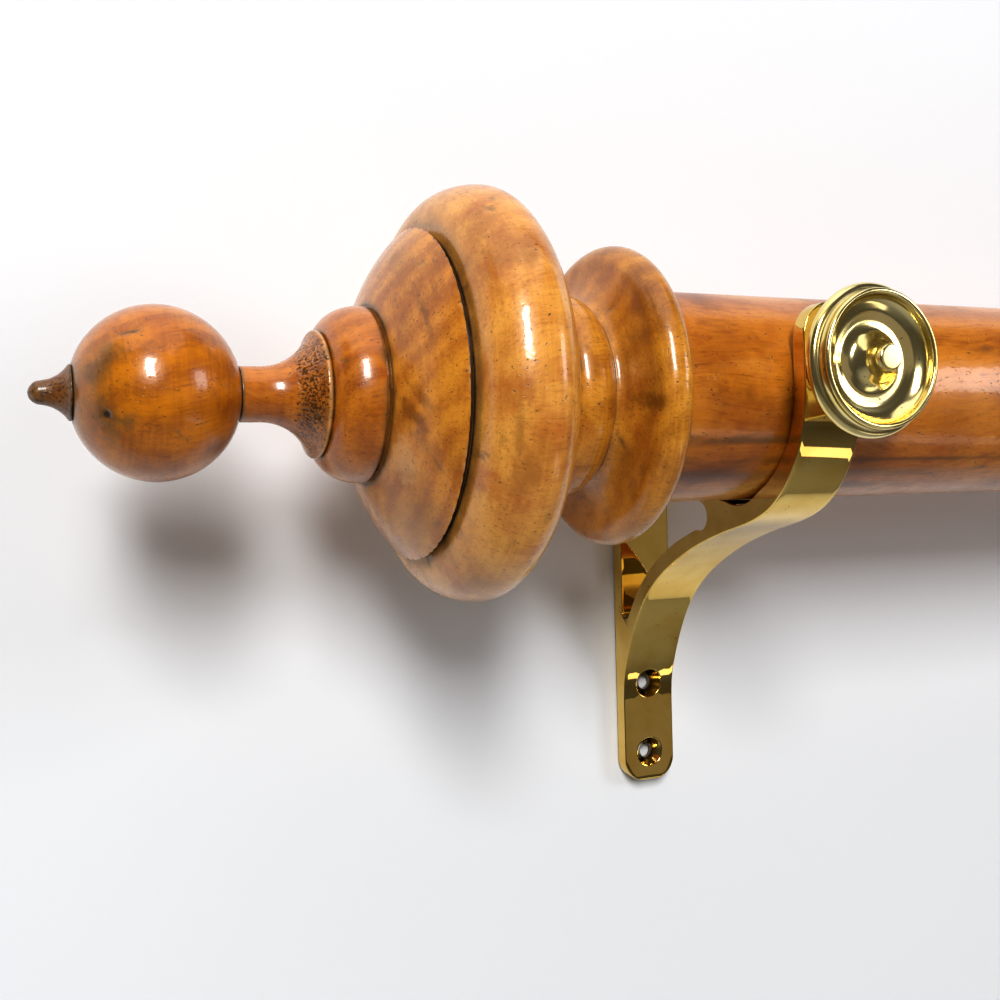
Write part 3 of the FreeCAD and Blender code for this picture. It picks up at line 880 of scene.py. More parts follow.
    def dome(self) -> None:
        """The flat dome, with the chattered edge of the groove that parts it from the ring."""
        start, end, socket = self.ring_end, self.dome_end, self.dome_end - 7.6
        run = outline((start, 0.0), [
            (start, 43.2), (68.1, 43.2), (68.1, 45.6), (arc, (75.7, 35.8), (end, 24.0)), (end, 8.05),
            (socket, 8.05), (socket, 0.0)])
        lathe = self.lathe(run, 0.7, 288)
        rim = np.exp(-((lathe.along - 68.2) / 0.7) ** 2) * (lathe.radius > 43.4)
        chatter = np.maximum(np.sin(lathe.turn * 74 + 3 * swell(lathe.raw, 21, 30.0)), 0) ** 3
        lathe.relief += rim * 0.28 * chatter
        lathe.tone += rim * 0.9 * (1 - chatter) * np.maximum(swell(lathe.raw, 22, 16.0), 0)
        groove = (lathe.radius < 45.0) & (lathe.radius > 42.0) & (lathe.along < 69.0)
        lathe.dirt_and_painted_light += groove * 1.4
        self.finish("dome", lathe, Timber.DOME, "ring_wood", 0.05, 20, ((end, 24.2, 0.9, 1.0),))

    def stem(self) -> None:
        """The collar, its sharp lip and the flare, with its torn grain, that draws in to the neck."""
        start, end = self.dome_end, self.stem_end
        inner, outer = start - 7.0, end + 11.0
        run = outline((inner, 0.0), [
            (inner, SPIGOT_R), (start, SPIGOT_R), (start, 22.8), (81.9, 22.8), (81.9, 24.0), (82.6, 24.0),
            (elliptic, (93.8, 24.0), (93.8, 16.0)), (arc, (94.85, 17.2), (95.9, 16.2)),
            (arc, (101.1, 9.94), (109.5, 7.4)), (end, 7.4), (end, 4.0), (outer, 4.0), (outer, 0.0)])
        lathe = self.lathe(run, 0.36, 256)
        flare = np.exp(-((lathe.along - 98.4) / 3.4) ** 4) * (lathe.radius > 8.4)
        drawn = lathe.raw * np.array([0.5, 1.0, 1.0])
        torn = np.maximum(swell(drawn, self.seed + 31, 1.1) + 0.8 * swell(drawn, self.seed + 32, 2.2), 0)
        front = 0.5 + 0.5 * np.cos(lathe.turn)
        lathe.relief += flare * np.minimum(torn, 1.0) * 0.22 * front
        lathe.torn += flare * (0.55 + 0.45 * front) * (0.8 + 0.4 * np.minimum(torn, 1.0))
        lathe.dirt_and_painted_light += flare * 0.22 * (0.4 + 0.6 * front)
        lathe.tone += 0.8 * np.exp(-((lathe.along - 94.85) / 0.5) ** 2) * (lathe.radius > 15)
        dust_and_shade_rings = ((94.0, 16.1, 0.8, 1.3), (81.4, 23.4, 0.9, 1.3), (end, 7.4, 0.6, 1.4))
        self.finish("stem", lathe, Timber.STEM, "turned_wood", 0.03, 26, dust_and_shade_rings)

    def ball(self) -> None:
        """The ball."""
        start, end = self.stem_end, self.ball_end
        inner, outer = start + 11.6, end - 8.6
        run = outline((inner, 0.0), [
            (inner, 4.05), (start, 4.05), (start, 7.4), (arc, (135.75, 22.5), (end, 7.1)), (end, 2.55),
            (outer, 2.55), (outer, 0.0)])
        dust_and_shade_rings = ((start, 7.4, 1.0, 1.2), (end, 7.1, 1.6, 0.9))
        self.finish("ball", self.lathe(run, 0.55, 208), Timber.BALL, "turned_wood", 0.05, 40, dust_and_shade_rings)

    def tip_button(self) -> None:
        """The small pointed button on the ball."""
        start, end, inner = self.ball_end, self.tip_end, self.ball_end - 8.0
        run = outline((inner, 0.0), [
            (inner, 2.5), (start, 2.5), (start, 7.1), (156.75, 7.1), (arc, (158.9, 4.7), (162.0, 3.25)),
            (163.4, 3.0), (elliptic, (end, 3.0), (end, 0.0))])
        lathe = self.lathe(run, 0.35, 112)
        lathe.torn += 0.55
        dust_and_shade_rings = ((start, 7.1, 0.9, 1.1), (163.0, 3.1, 1.6, 0.7))
        self.finish("tip_button", lathe, Timber.TIP, "turned_wood", 0.03, 24, dust_and_shade_rings)

    def spigot(self) -> None:
        """The fluted dowel: flutes are the positive part of a cosine of the turn, raised to a power."""
        inner, outer = -SPIGOT_IN_POLE, self.ring_end + self.dowel_in_dome
        run = np.array([(inner, 0), (inner, SPIGOT_R - 1.2), (inner + 1.8, SPIGOT_R), (outer - 1.8, SPIGOT_R),
                        (outer, SPIGOT_R - 1.2), (outer, 0)], float)
        lathe = self.lathe(run, 1.6, 144)
        flute = np.maximum(np.cos(lathe.turn * 18), 0) ** 4
        lathe.relief += 0.35 * flute * (lathe.radius > SPIGOT_R - 0.4)
        lathe.dirt_and_painted_light += 0.25 * flute
        piece = lathe.mesh(self.side + "_spigot_fluted")
        dress(piece, Timber.DOWEL)
        hand_over(piece, self.side + "_finial", self.side + "_spigot")

    def build(self) -> None:
        """Makes all seven pieces."""
        for make in (self.base, self.big_ring, self.dome, self.stem, self.ball, self.tip_button, self.spigot):
            make()


# ---------------------------------------------------------------- the bracket

class Datum(Enum):
    """What the depth of a ring of a hole is measured from."""

    FRONT = "the surface in front"
    PLATE = "the plate's face, or the surface in front where that lies deeper"
    AXIS = "the pole's axis"
    BACK = "the surface behind"


@dataclass(frozen=True)
class Hole:
    """A hole through the strap, in a square of faces that it takes out in front and behind."""

    front: str                 # stretch of the outline in front
    back: str                  # stretch behind
    centre: float              # height of its middle
    square: float              # half size of the square
    rings: tuple               # radius, datum and depth of each ring, from front to back


@dataclass
class Strap:
    """The bracket's mesh while it is made: a grid of vertices, less what the holes take, plus their rings."""

    grid: np.ndarray           # vertices in mm: the outline's rows by the columns across the strap
    spans: dict[str, np.ndarray]   # row numbers of each stretch of the outline
    faces: list = field(default_factory=list)

    def __post_init__(self) -> None:
        """Numbers the grid's vertices and keeps all its faces."""
        count, columns = self.grid.shape[:2]
        self.used = count * columns
        self.index = np.arange(self.used).reshape(count, columns)
        self.keep = np.ones((count, columns - 1), bool)
        self.vertices = [self.grid.reshape(-1, 3)]

    def ring(self, places: np.ndarray) -> np.ndarray:
        """Adds the vertices of a ring, and gives their numbers."""
        numbers = np.arange(self.used, self.used + len(places))
        self.vertices.append(places)
        self.used += len(places)
        return numbers

    def band(self, first: np.ndarray, second: np.ndarray) -> None:
        """Adds the quads between two rings of the same number of vertices."""
        self.faces += np.stack([first, np.roll(first, -1), np.roll(second, -1), second], axis=-1).tolist()

    def skin(self) -> None:
        """Adds the grid's own faces, without those that holes took."""
        upper = np.roll(self.index, -1, axis=0)
        quads = np.stack([self.index[:, :-1], upper[:, :-1], upper[:, 1:], self.index[:, 1:]], axis=-1)
        self.faces += quads[self.keep].tolist()


@dataclass
class WallBracket:
    """A cast bracket: its side outline carried across the strap's width, with eased edges.

    The outline is (Y from the pole's axis, Z from the pole's axis). A row's half width narrows to a round
    corner near the ends of the plate and the lug: half - R + sqrt(R^2 - (R - d)^2), d from the end.
    """

    side: str
    x: float
    width: float = 20.5
    cradle_r: float = POLE_R + CRADLE_GAP
    lug_t: float = LUG_T       # thickness of the lug, and of the strap where it sets off under the cradle
    blend_t: float = 6.0
    floor_t: float = 7.4       # thickness under the cradle's floor
    horn_t: float = 4.9
    arm_t: float = 5.7
    arm_root_t: float = 5.2
    arm_drop: float = 2.0
    wall: float = -POLE_Y
    plate_t: float = 5.5
    foot: float = -135.0       # plate's lower end
    top: float = 30.0          # plate's upper end
    lug_top: float = 25.0
    foot_r: float = 8.0
    top_r: float = 10.0
    arm_end: float = -106.0    # where the arm's lower side meets the plate
    horn_rise: float = 6.0
    root_angle: float = 119.0  # where the horn's back meets the arm's upper side, round the pole's axis
    root_hollow: float = 5.3
    notch_depth: float = 1.5
    relief_y: float = -5.0     # middle of the shallow hollow in the cradle's floor
    relief_half: float = 8.5
    relief_depth: float = 1.3
    hole_r: float = 2.6
    sink_r: float = 5.1        # countersink at the plate's face
    sink_depth: float = 2.5
    tapped_r: float = 3.255
    tapped_z: float = SCREW_Z
    holes: tuple = (-124.7, -99.3, 20.0)
    square: float = 6.6        # half size of the square that a screw hole takes
    lug_square: float = 5.4    # and of the tapped hole's
    plate_rows_to: float = -86.0   # level rows on the plate end here
    top_rows_from: float = 8.0     # and begin again here
    edge: float = 0.5
    corner: float = 0.45       # rounding of the outline's corners
    corner_rows: int = 15
    row_pitch: float = 0.9
    end_pitch: float = 0.55
    back_pitch: float = 2.4
    row_clear: float = 0.24    # no row comes closer than this to the rim of a hole's square
    flat_columns: int = 16
    edge_columns: int = 4
    # points of the arm, as shares of the way to the plate and down: its lower side, and below its upper side
    under: tuple = ((0.04, 0.0), (0.44, 0.149), (0.773, 0.40), (0.943, 0.714), (0.99, 0.87), (1.0, 1.0))
    root: tuple = (0.265, 0.08)
    upper: tuple = ((0.44, 0.149), (0.66, 0.28), (0.773, 0.40), (0.865, 0.535))

    @staticmethod
    def round_axis(radius: float, degrees: float) -> np.ndarray:
        """A point round the pole's axis: 0 at the front, 90 below, 180 behind."""
        return -radius * np.array([math.cos(math.radians(degrees)), math.sin(math.radians(degrees))])

    def arm_point(self, across: float, down: float) -> np.ndarray:
        """A point under the arm, as shares of the way to the plate and down."""
        high = -(self.cradle_r + self.floor_t + self.arm_drop)
        return np.array([(self.wall - self.plate_t) * across, high + (self.arm_end - high) * down])

    def curves(self) -> tuple[np.ndarray, np.ndarray]:
        """The lower side from the lug to the plate, and the arm's upper side from the horn to the notch.

        The upper side passes through points one thickness along the lower side's normal.

        Returns:
            Both runs.
        """
        start = [self.round_axis(self.cradle_r + self.lug_t, 0), self.round_axis(self.cradle_r + self.lug_t, 12),
                 self.round_axis(self.cradle_r + self.blend_t, 30), self.round_axis(self.cradle_r + self.floor_t, 58)]
        under = smooth_curve(start + [self.arm_point(*share) for share in self.under], 1201)
        way = np.gradient(under, axis=0)
        normal = np.column_stack([-way[:, 1], way[:, 0]]) / np.linalg.norm(way, axis=1)[:, None]
        stations = [(self.root, self.arm_root_t)] + [(share, self.arm_t) for share in self.upper]
        points = []
        for share, thickness in stations:
            nearest = np.argmin(np.linalg.norm(under - self.arm_point(*share), axis=1))
            points.append(under[nearest] + normal[nearest] * thickness)
        return under, smooth_curve(points)

    def stretches(self) -> tuple[list[np.ndarray], dict[str, int]]:
        """The side outline as separate runs, from the arm's end down the plate and all the way round.

        Returns:
            The runs, and the number of the run for each named stretch.
        """
        under, upper = self.curves()
        face, wall, inner, again = self.wall - self.plate_t, self.wall, self.cradle_r, self.top_rows_from
        horn_out = inner + self.horn_t
        horn_side = self.round_axis(horn_out, self.root_angle)
        root, notch_front = upper[0], upper[-1]
        chord = root - horn_side
        inward = np.array([chord[1], -chord[0]]) / np.linalg.norm(chord)
        hollow = (root + horn_side) / 2 + inward * self.root_hollow
        notch_back = (face, notch_front[1])
        notch_floor = ((notch_front[0] + face) / 2, notch_front[1] - self.notch_depth)
        cap = self.horn_rise - self.horn_t / 2
        front_y, back_y = self.relief_y - self.relief_half, self.relief_y + self.relief_half
        deep = (self.relief_y, -math.sqrt(inner ** 2 - self.relief_y ** 2) - self.relief_depth)
        relief_front = (front_y, -math.sqrt(inner ** 2 - front_y ** 2))
        relief_back = (back_y, -math.sqrt(inner ** 2 - back_y ** 2))
        lug_out = -inner - self.lug_t
        split = int(np.argmin(np.abs(under[:, 1] - self.plate_rows_to) + 1e3 * (under[:, 0] < 50)))
        plate = [(face, self.foot), (wall, self.foot), (wall, self.plate_rows_to), (wall, again), (wall, self.top),
                 (face, self.top), (face, again)]
        lug = [(-inner, 0), (-inner, self.lug_top), (lug_out, self.lug_top), (lug_out, 0)]
        notch = outline(plate[-1], [notch_back, (arc, notch_floor, notch_front)])
        cradle = outline(root, [
            (arc, hollow, horn_side), (arc, self.round_axis(horn_out, (self.root_angle + 180) / 2), (horn_out, 0)),
            (horn_out, cap), (arc, (inner + self.horn_t / 2, self.horn_rise), (inner, cap)), (inner, 0),
            (arc, self.round_axis(inner, 140), relief_back), (arc, deep, relief_front),
            (arc, self.round_axis(inner, 40), lug[0])])
        runs = [np.vstack([under[split:], plate[:1]]), *map(line, plate, plate[1:]),
                np.vstack([notch, upper[-2:0:-1], cradle]), *map(line, lug, lug[1:]), under[:split + 1]]
        names = ("plate_front_low", "foot_end", "plate_back_low", "plate_back", "plate_back_top", "top_end",
                 "plate_front_top", "horn_and_cradle", "lug_inside", "lug_end", "lug_outside", "under_side")
        return runs, {name: number for number, name in enumerate(names)}

    def heights(self, low: float, high: float, holes: Sequence[tuple[float, float]], end_low: bool) -> np.ndarray:
        """Heights of rows from low to high: even turns round the corner at its end, and exact at its holes' squares.

        Args:
            low: lowest height.
            high: highest.
            holes: centre and half size of each square that a hole takes.
            end_low: whether the rounded end is the low one.

        Returns:
            Heights, rising.
        """
        corner = self.foot_r if end_low else self.top_r
        bend = corner * (1 - np.cos(np.linspace(0, math.pi / 2, self.corner_rows)))
        rounded = low + bend if end_low else high - bend
        plain = np.arange(rounded[-1], *((high, self.row_pitch) if end_low else (low, -self.row_pitch)))
        stops = np.array([low, high] + [z + way * half for z, half in holes for way in (-1, 1)])
        free = np.concatenate([rounded, plain])
        free = free[np.abs(free[:, None] - stops).min(axis=1) > self.row_clear]
        return np.unique(np.concatenate([free, stops]))

    def rows(self) -> tuple[np.ndarray, dict[str, np.ndarray]]:
        """The outline's rows, with the same heights on the front and the back where holes go through.

        Returns:
            The rows as (Y, Z), and the row numbers of each named stretch.
        """
        runs, number = self.stretches()
        loop = np.vstack([run[:-1] for run in runs])
        at, even = evened(loop, True)
        soft = eased(even, self.corner, True)
        lengths = [np.linalg.norm(np.diff(run, axis=0), axis=1).sum() for run in runs]
        begins = np.r_[0, np.cumsum(lengths)]
        low = self.heights(self.foot, self.plate_rows_to, [(z, self.square) for z in self.holes[:2]], True)
        top = self.heights(self.top_rows_from, self.top, [(self.holes[2], self.square)], False)
        lug = self.heights(0.0, self.lug_top, [(self.tapped_z, self.lug_square)], False)
        level = {"plate_front_low": low[::-1], "plate_back_low": low, "plate_back_top": top,
                 "plate_front_top": top[::-1], "lug_inside": lug, "lug_outside": lug[::-1]}
        chosen, spans, total = [], {}, 0
        for name, k in number.items():
            start, stop = begins[k], begins[k + 1]
            if name in level:
                inside = (at >= start) & (at <= stop)
                z = np.r_[runs[k][0, 1], even[inside, 1], runs[k][-1, 1]]
                s = np.r_[start, at[inside], stop]
                order = np.argsort(z, kind="stable")
                places = np.interp(level[name], z[order], s[order])
            else:
                pitch = {"plate_back": self.back_pitch}.get(
                    name, self.end_pitch if name.endswith("_end") else self.row_pitch)
                places = np.linspace(start, stop, max(2, int(round((stop - start) / pitch))) + 1)
            spans[name] = np.arange(total, total + len(places))
            chosen.append(places[:-1])
            total += len(places) - 1
        places = np.concatenate(chosen)
        spans = {name: span % total for name, span in spans.items()}
        return np.column_stack([np.interp(places, at, soft[:, k]) for k in (0, 1)]), spans

    def ends(self) -> tuple:
        """The three rounded ends: stretches before, on and after it, height, whether it points up, corner."""
        return ((("plate_front_low", "foot_end", "plate_back_low"), self.foot, -1, self.foot_r),
                (("plate_back_top", "top_end", "plate_front_top"), self.top, 1, self.top_r),
                (("lug_inside", "lug_end", "lug_outside"), self.lug_top, 1, self.top_r))

    def half_widths(self, rows: np.ndarray, spans: dict[str, np.ndarray]) -> np.ndarray:
        """Half width of the strap at each row, rounded off at the three ends."""
        half = np.full(len(rows), self.width / 2)
        for names, end, way, radius in self.ends():
            near = np.unique(np.concatenate([spans[n] for n in names]))
            deep = np.clip((end - rows[near, 1]) * way, 0, radius)
            half[near] += -radius + np.sqrt(radius ** 2 - (radius - deep) ** 2)
        return half

    def grid(self, rows: np.ndarray, spans: dict[str, np.ndarray]) -> np.ndarray:
        """The strap's vertices: each row carried across, with quarter-round edges and a slight unevenness.

        Args:
            rows: the outline.
            spans: row numbers of each stretch.

        Returns:
            Places in mm from the strap's middle and the pole's axis, by row and column.
        """
        half = self.half_widths(rows, spans)
        ease = np.minimum(self.edge, half * 0.5)
        way = np.roll(rows, -1, axis=0) - np.roll(rows, 1, axis=0)
        way /= np.linalg.norm(way, axis=1)[:, None]
        turn_sign = np.sign(np.sum(rows[:, 0] * np.roll(rows[:, 1], -1) - np.roll(rows[:, 0], -1) * rows[:, 1]))
        inward = np.column_stack([-way[:, 1], way[:, 0]]) * turn_sign
        flat = np.linspace(-1, 1, self.flat_columns + 1)
        bend = np.linspace(0, math.pi / 2, self.edge_columns + 1)[1:]
        across = np.concatenate([-np.ones(self.edge_columns), flat, np.ones(self.edge_columns)])
        beyond = np.concatenate([-np.sin(bend)[::-1], np.zeros(len(flat)), np.sin(bend)])
        sunk = np.concatenate([(1 - np.cos(bend))[::-1], np.zeros(len(flat)), 1 - np.cos(bend)])
        x = across * (half - ease)[:, None] + beyond * ease[:, None]
        yz = rows[:, None, :] + inward[:, None, :] * (sunk * ease[:, None])[..., None]
        places = np.concatenate([x[..., None], yz], axis=-1)
        wave = 0.02 * np.maximum(1 + swell(places, 51 if self.side == "left" else 52, 17.0), 0)
        places[..., 1:] += inward[:, None, :] * wave[..., None]
        return places

    def build(self) -> None:
        """Makes the bracket: strap, side faces, rounded corners and holes, all in one closed mesh."""
        rows, spans = self.rows()
        strap = Strap(self.grid(rows, spans), spans)
        for hole in self.piercings():
            self.pierce(strap, hole)
        strap.skin()
        strap.faces += self.side_faces(strap.index, rows, spans)
        places = np.vstack(strap.vertices)
        values = {"dirt_and_painted_light": self.held_polish(places), "tone": np.zeros(len(places))}
        places = places + np.array([self.x, POLE_Y, POLE_Z])
        piece = solid(self.side + "_bracket_cast", places, strap.faces, values)
        dress(piece, Metal.BRACKET)
        hand_over(piece, "wall_brackets", self.side + "_bracket")

    def piercings(self) -> list[Hole]:
        """The three countersunk screw holes in the plate, and the tapped hole in the lug."""
        floor, sink, hole, tap = self.wall - self.plate_t + self.sink_depth, self.sink_r, self.hole_r, self.tapped_r
        screwed = ((sink + 0.5, Datum.FRONT, 0.0), (sink + 0.22, Datum.FRONT, 0.0), (sink, Datum.FRONT, 0.14),
                   (sink - 0.06, Datum.PLATE, 0.26), (hole + 0.12, Datum.AXIS, floor - 0.1),
                   (hole, Datum.AXIS, floor + 0.2), (hole, Datum.AXIS, self.wall - 0.3),
                   (hole + 0.25, Datum.BACK, 0.0), (hole + 0.5, Datum.BACK, 0.0))
        tapped = ((tap + 0.6, Datum.FRONT, 0.0), (tap + 0.3, Datum.FRONT, 0.0),
                  (tap, Datum.AXIS, -self.cradle_r - self.lug_t + 0.3), (tap, Datum.AXIS, -self.cradle_r - 0.3),
                  (tap + 0.3, Datum.BACK, 0.0), (tap + 0.6, Datum.BACK, 0.0))
        *low, high = self.holes
        return [Hole("plate_front_low", "plate_back_low", z, self.square, screwed) for z in low] \
            + [Hole("plate_front_top", "plate_back_top", high, self.square, screwed),
               Hole("lug_outside", "lug_inside", self.tapped_z, self.lug_square, tapped)]

    def pierce(self, strap: Strap, hole: Hole) -> None:
        """Opens a hole: the squares of faces in front and behind go, and rings of quads join their borders.

        Each ring has one vertex for each vertex of the square round it, at the same bearing.

        Args:
            strap: the mesh so far, changed here.
            hole: which hole.
        """
        grid, index = strap.grid, strap.index
        middle = self.edge_columns + self.flat_columns // 2
        reach = int(round(hole.square / (self.width / 2 - self.edge) * self.flat_columns / 2))
        columns = np.arange(middle - reach, middle + reach + 1)
        loops, spines = [], []
        for name in (hole.front, hole.back):
            span = strap.spans[name]
            inside = span[np.abs(grid[span, middle, 2] - hole.centre) <= hole.square + 0.2]
            inside = inside if grid[inside[0], middle, 2] < grid[inside[-1], middle, 2] else inside[::-1]
            lower = np.minimum(inside[:-1], inside[1:])
            wraps = np.abs(inside[:-1] - inside[1:]) > 1
            lower[wraps] = np.maximum(inside[:-1], inside[1:])[wraps]
            strap.keep[np.ix_(lower, columns[:-1])] = False
            loops.append(np.concatenate([index[inside[0], columns], index[inside[1:-1], columns[-1]],
                                         index[inside[-1], columns[::-1]], index[inside[1:-1][::-1], columns[0]]]))
            spines.append(grid[inside, middle])
        border, behind = (strap.vertices[0][loop] for loop in loops)
        bearing = np.arctan2(border[:, 2] - hole.centre, border[:, 0])
        previous = loops[0]
        for radius, datum, depth in hole.rings:
            z = hole.centre + radius * np.sin(bearing)
            front = np.interp(z, spines[0][:, 2], spines[0][:, 1])
            start = {Datum.FRONT: front, Datum.PLATE: np.maximum(front, self.wall - self.plate_t),
                     Datum.AXIS: np.zeros(len(z)), Datum.BACK: behind[:, 1]}[datum]
            ring = strap.ring(np.column_stack([radius * np.cos(bearing), start + depth, z]))
            strap.band(previous, ring)
            previous = ring
        strap.band(previous, loops[1])

    def side_faces(self, index: np.ndarray, rows: np.ndarray, spans: dict[str, np.ndarray]) -> list:
        """The two flat sides, and the strips that close the rounded corners between front and back.

        Args:
            index: vertex numbers of the strap's grid.
            rows: the outline.
            spans: row numbers of each stretch.

        Returns:
            The faces.
        """
        corner = np.zeros(len(rows), bool)
        strips = []
        for (first, end, second), _, _, radius in self.ends():
            edge_z = rows[spans[end], 1].mean()
            going, coming = (spans[name][np.abs(rows[spans[name], 1] - edge_z) <= radius + 0.2]
                             for name in (first, second))
            path = np.concatenate([going, spans[end][1:-1], coming])
            pairs = len(path) // 2
            near, far = path[:pairs], path[::-1][:pairs]
            strips.append((near, far, path))
            corner[path[1:-1]] = True
        faces = []
        polygon = np.flatnonzero(~corner)
        for column in (0, index.shape[1] - 1):
            faces.append(index[polygon, column].tolist())
            for near, far, path in strips:
                a, b = index[near, column], index[far, column]
                faces += np.stack([a[:-1], a[1:], b[1:], b[:-1]], axis=-1).tolist()
                if len(path) % 2:
                    faces.append([int(a[-1]), int(index[path[len(path) // 2], column]), int(b[-1])])
        return faces

    def held_polish(self, places: np.ndarray) -> np.ndarray:
        """Where old polish stays: in the notch, at the horn's root, and in the screw holes."""
        spots = [((69.0, -74.0), 2.4, 1.0), ((17.0, -38.5), 3.0, 0.55)]
        dirt_and_painted_light = np.zeros(len(places))
        for (y, z), spread, amount in spots:
            dirt_and_painted_light += amount * np.exp(-np.hypot(places[:, 1] - y, places[:, 2] - z) / spread)
        for z in self.holes:
            far = np.hypot(places[:, 0], places[:, 2] - z)
            dirt_and_painted_light += 0.9 * np.exp(-((far - self.hole_r) / 0.7) ** 2) * (places[:, 1] > self.wall - self.plate_t + 1.5)
        return dirt_and_painted_light


# ---------------------------------------------------------------- the clamp

@dataclass
class Clamp:
    """The knob and screw that steady the pole, turned on an axis that points into the room."""

    side: str
    x: float
    lug_face: float = POLE_Y - POLE_R - CRADLE_GAP - LUG_T
    height: float = POLE_Z + SCREW_Z
    screw_r: float = 3.175
    tip: float = -4.6065       # screw's tip behind the lug's face
    screw_end: float = 15.0
    pitch: float = 1.27        # twenty threads to the inch
    thread_depth: float = 0.7

    def lathe(self, run: np.ndarray, corner: float, pitch: float, columns: int, closed: bool) -> Lathe:
        """Sets a profile on the screw's axis, starting at the lug's face."""
        rows = rows_of(run, corner, pitch, closed)
        return Lathe(rows, columns, (self.x, self.lug_face, self.height), Facing.ROOM, closed)

    def knob(self) -> None:
        """The dished knob with its double rim, flat boss and hub."""
        bore, eighth = self.screw_r + GLUE_GAP, 0.6 * math.sin(math.pi / 4)
        run = outline((6.0, bore), [
            (6.0, 6.8), (9.8, 6.8), (elliptic, (13.6, 6.8), (13.6, 19.6)),
            (arc, (15.5, 21.5), (17.4, 19.6)), (arc, (19.2, 19.1), (20.1, 19.4)),
            (arc, (21.0, 18.5), (20.1, 17.6)), (elliptic, (15.8, 17.6), (15.8, 10.6)),
            (elliptic, (15.8, 4.8), (22.4, 4.2)), (23.2, 3.8),
            (arc, (23.2 + eighth, 3.2 + eighth), (23.8, 3.2)), (23.8, 0.0)])
        run = np.vstack([[(15.6, 0.0), (15.6, bore)], run])
        lathe = self.lathe(run, 0.12, 0.45, 192, False)
        skin = np.clip((lathe.radius - 4) / 3, 0, 1) * (lathe.along > 8)
        lathe.relief += skin * 0.02 * (1 + swell(lathe.raw, 71 if self.side == "left" else 72, 16.0))
        dish = (lathe.along < 20.0) & (lathe.radius < 17.5) & (lathe.along > 15.7)
        swirl = np.sin(lathe.radius * 2.3 + lathe.turn * 1.0)
        lathe.relief += dish * 0.035 * (1 + swirl)
        lathe.dirt_and_painted_light += 0.9 * np.exp(-((lathe.radius - 4.2) / 0.8) ** 2) * dish
        lathe.dirt_and_painted_light += 0.6 * np.exp(-((lathe.along - 17.6) / 0.45) ** 2) * (lathe.radius > 18.5)
        piece = lathe.mesh(self.side + "_clamp_knob_turned")
        dress(piece, Metal.KNOB)
        hand_over(piece, self.side + "_clamp_knob", self.side + "_clamp_knob")

    def screw(self) -> None:
        """The threaded stud: depth is a rounded sawtooth of distance / pitch minus turn / a full turn."""
        run = np.array([(self.tip, 0), (self.tip, self.screw_r - 0.6), (self.tip + 0.6, self.screw_r),
                        (self.screw_end, self.screw_r), (self.screw_end, 0)], float)
        lathe = self.lathe(run, 0.1, 0.14, 64, False)
        phase = (lathe.along / self.pitch - lathe.turn / math.tau) % 1
        vee = 0.5 + 0.5 * np.cos(math.tau * phase)
        threaded = np.clip((lathe.radius - 2.6) / 0.4, 0, 1)
        lathe.relief += threaded * self.thread_depth * vee
        lathe.dirt_and_painted_light += threaded * 0.7 * vee ** 3
        piece = lathe.mesh(self.side + "_clamp_screw_threaded")
        dress(piece, Metal.SCREW)
        hand_over(piece, self.side + "_clamp_screw", self.side + "_clamp_screw")

    def build(self) -> None:
        """Makes the knob and the screw."""
        self.knob()
        self.screw()


# ---------------------------------------------------------------- the studio

# Name: azimuth, elevation, distance, size, watts and colour.
LAMPS = {
    "window_left": (-18.0, 28.0, 2.6, (0.50, 1.15), 63.0, "#FFFEFB"),
    "window_right": (52.0, 13.0, 3.0, (0.9, 1.0), 19.0, "#F6F9FF"),
    "soft_top": (-20.0, 74.0, 2.6, (3.0, 2.0), 24.0, "#FFFFFF"),
    "far_room": (24.0, -3.0, 3.0, (2.6, 1.4), 2.6, "#FFF1DC"),
    "low_strip": (50.0, -34.0, 2.4, (1.1, 0.24), 1.4, "#FFFAF0"),
}


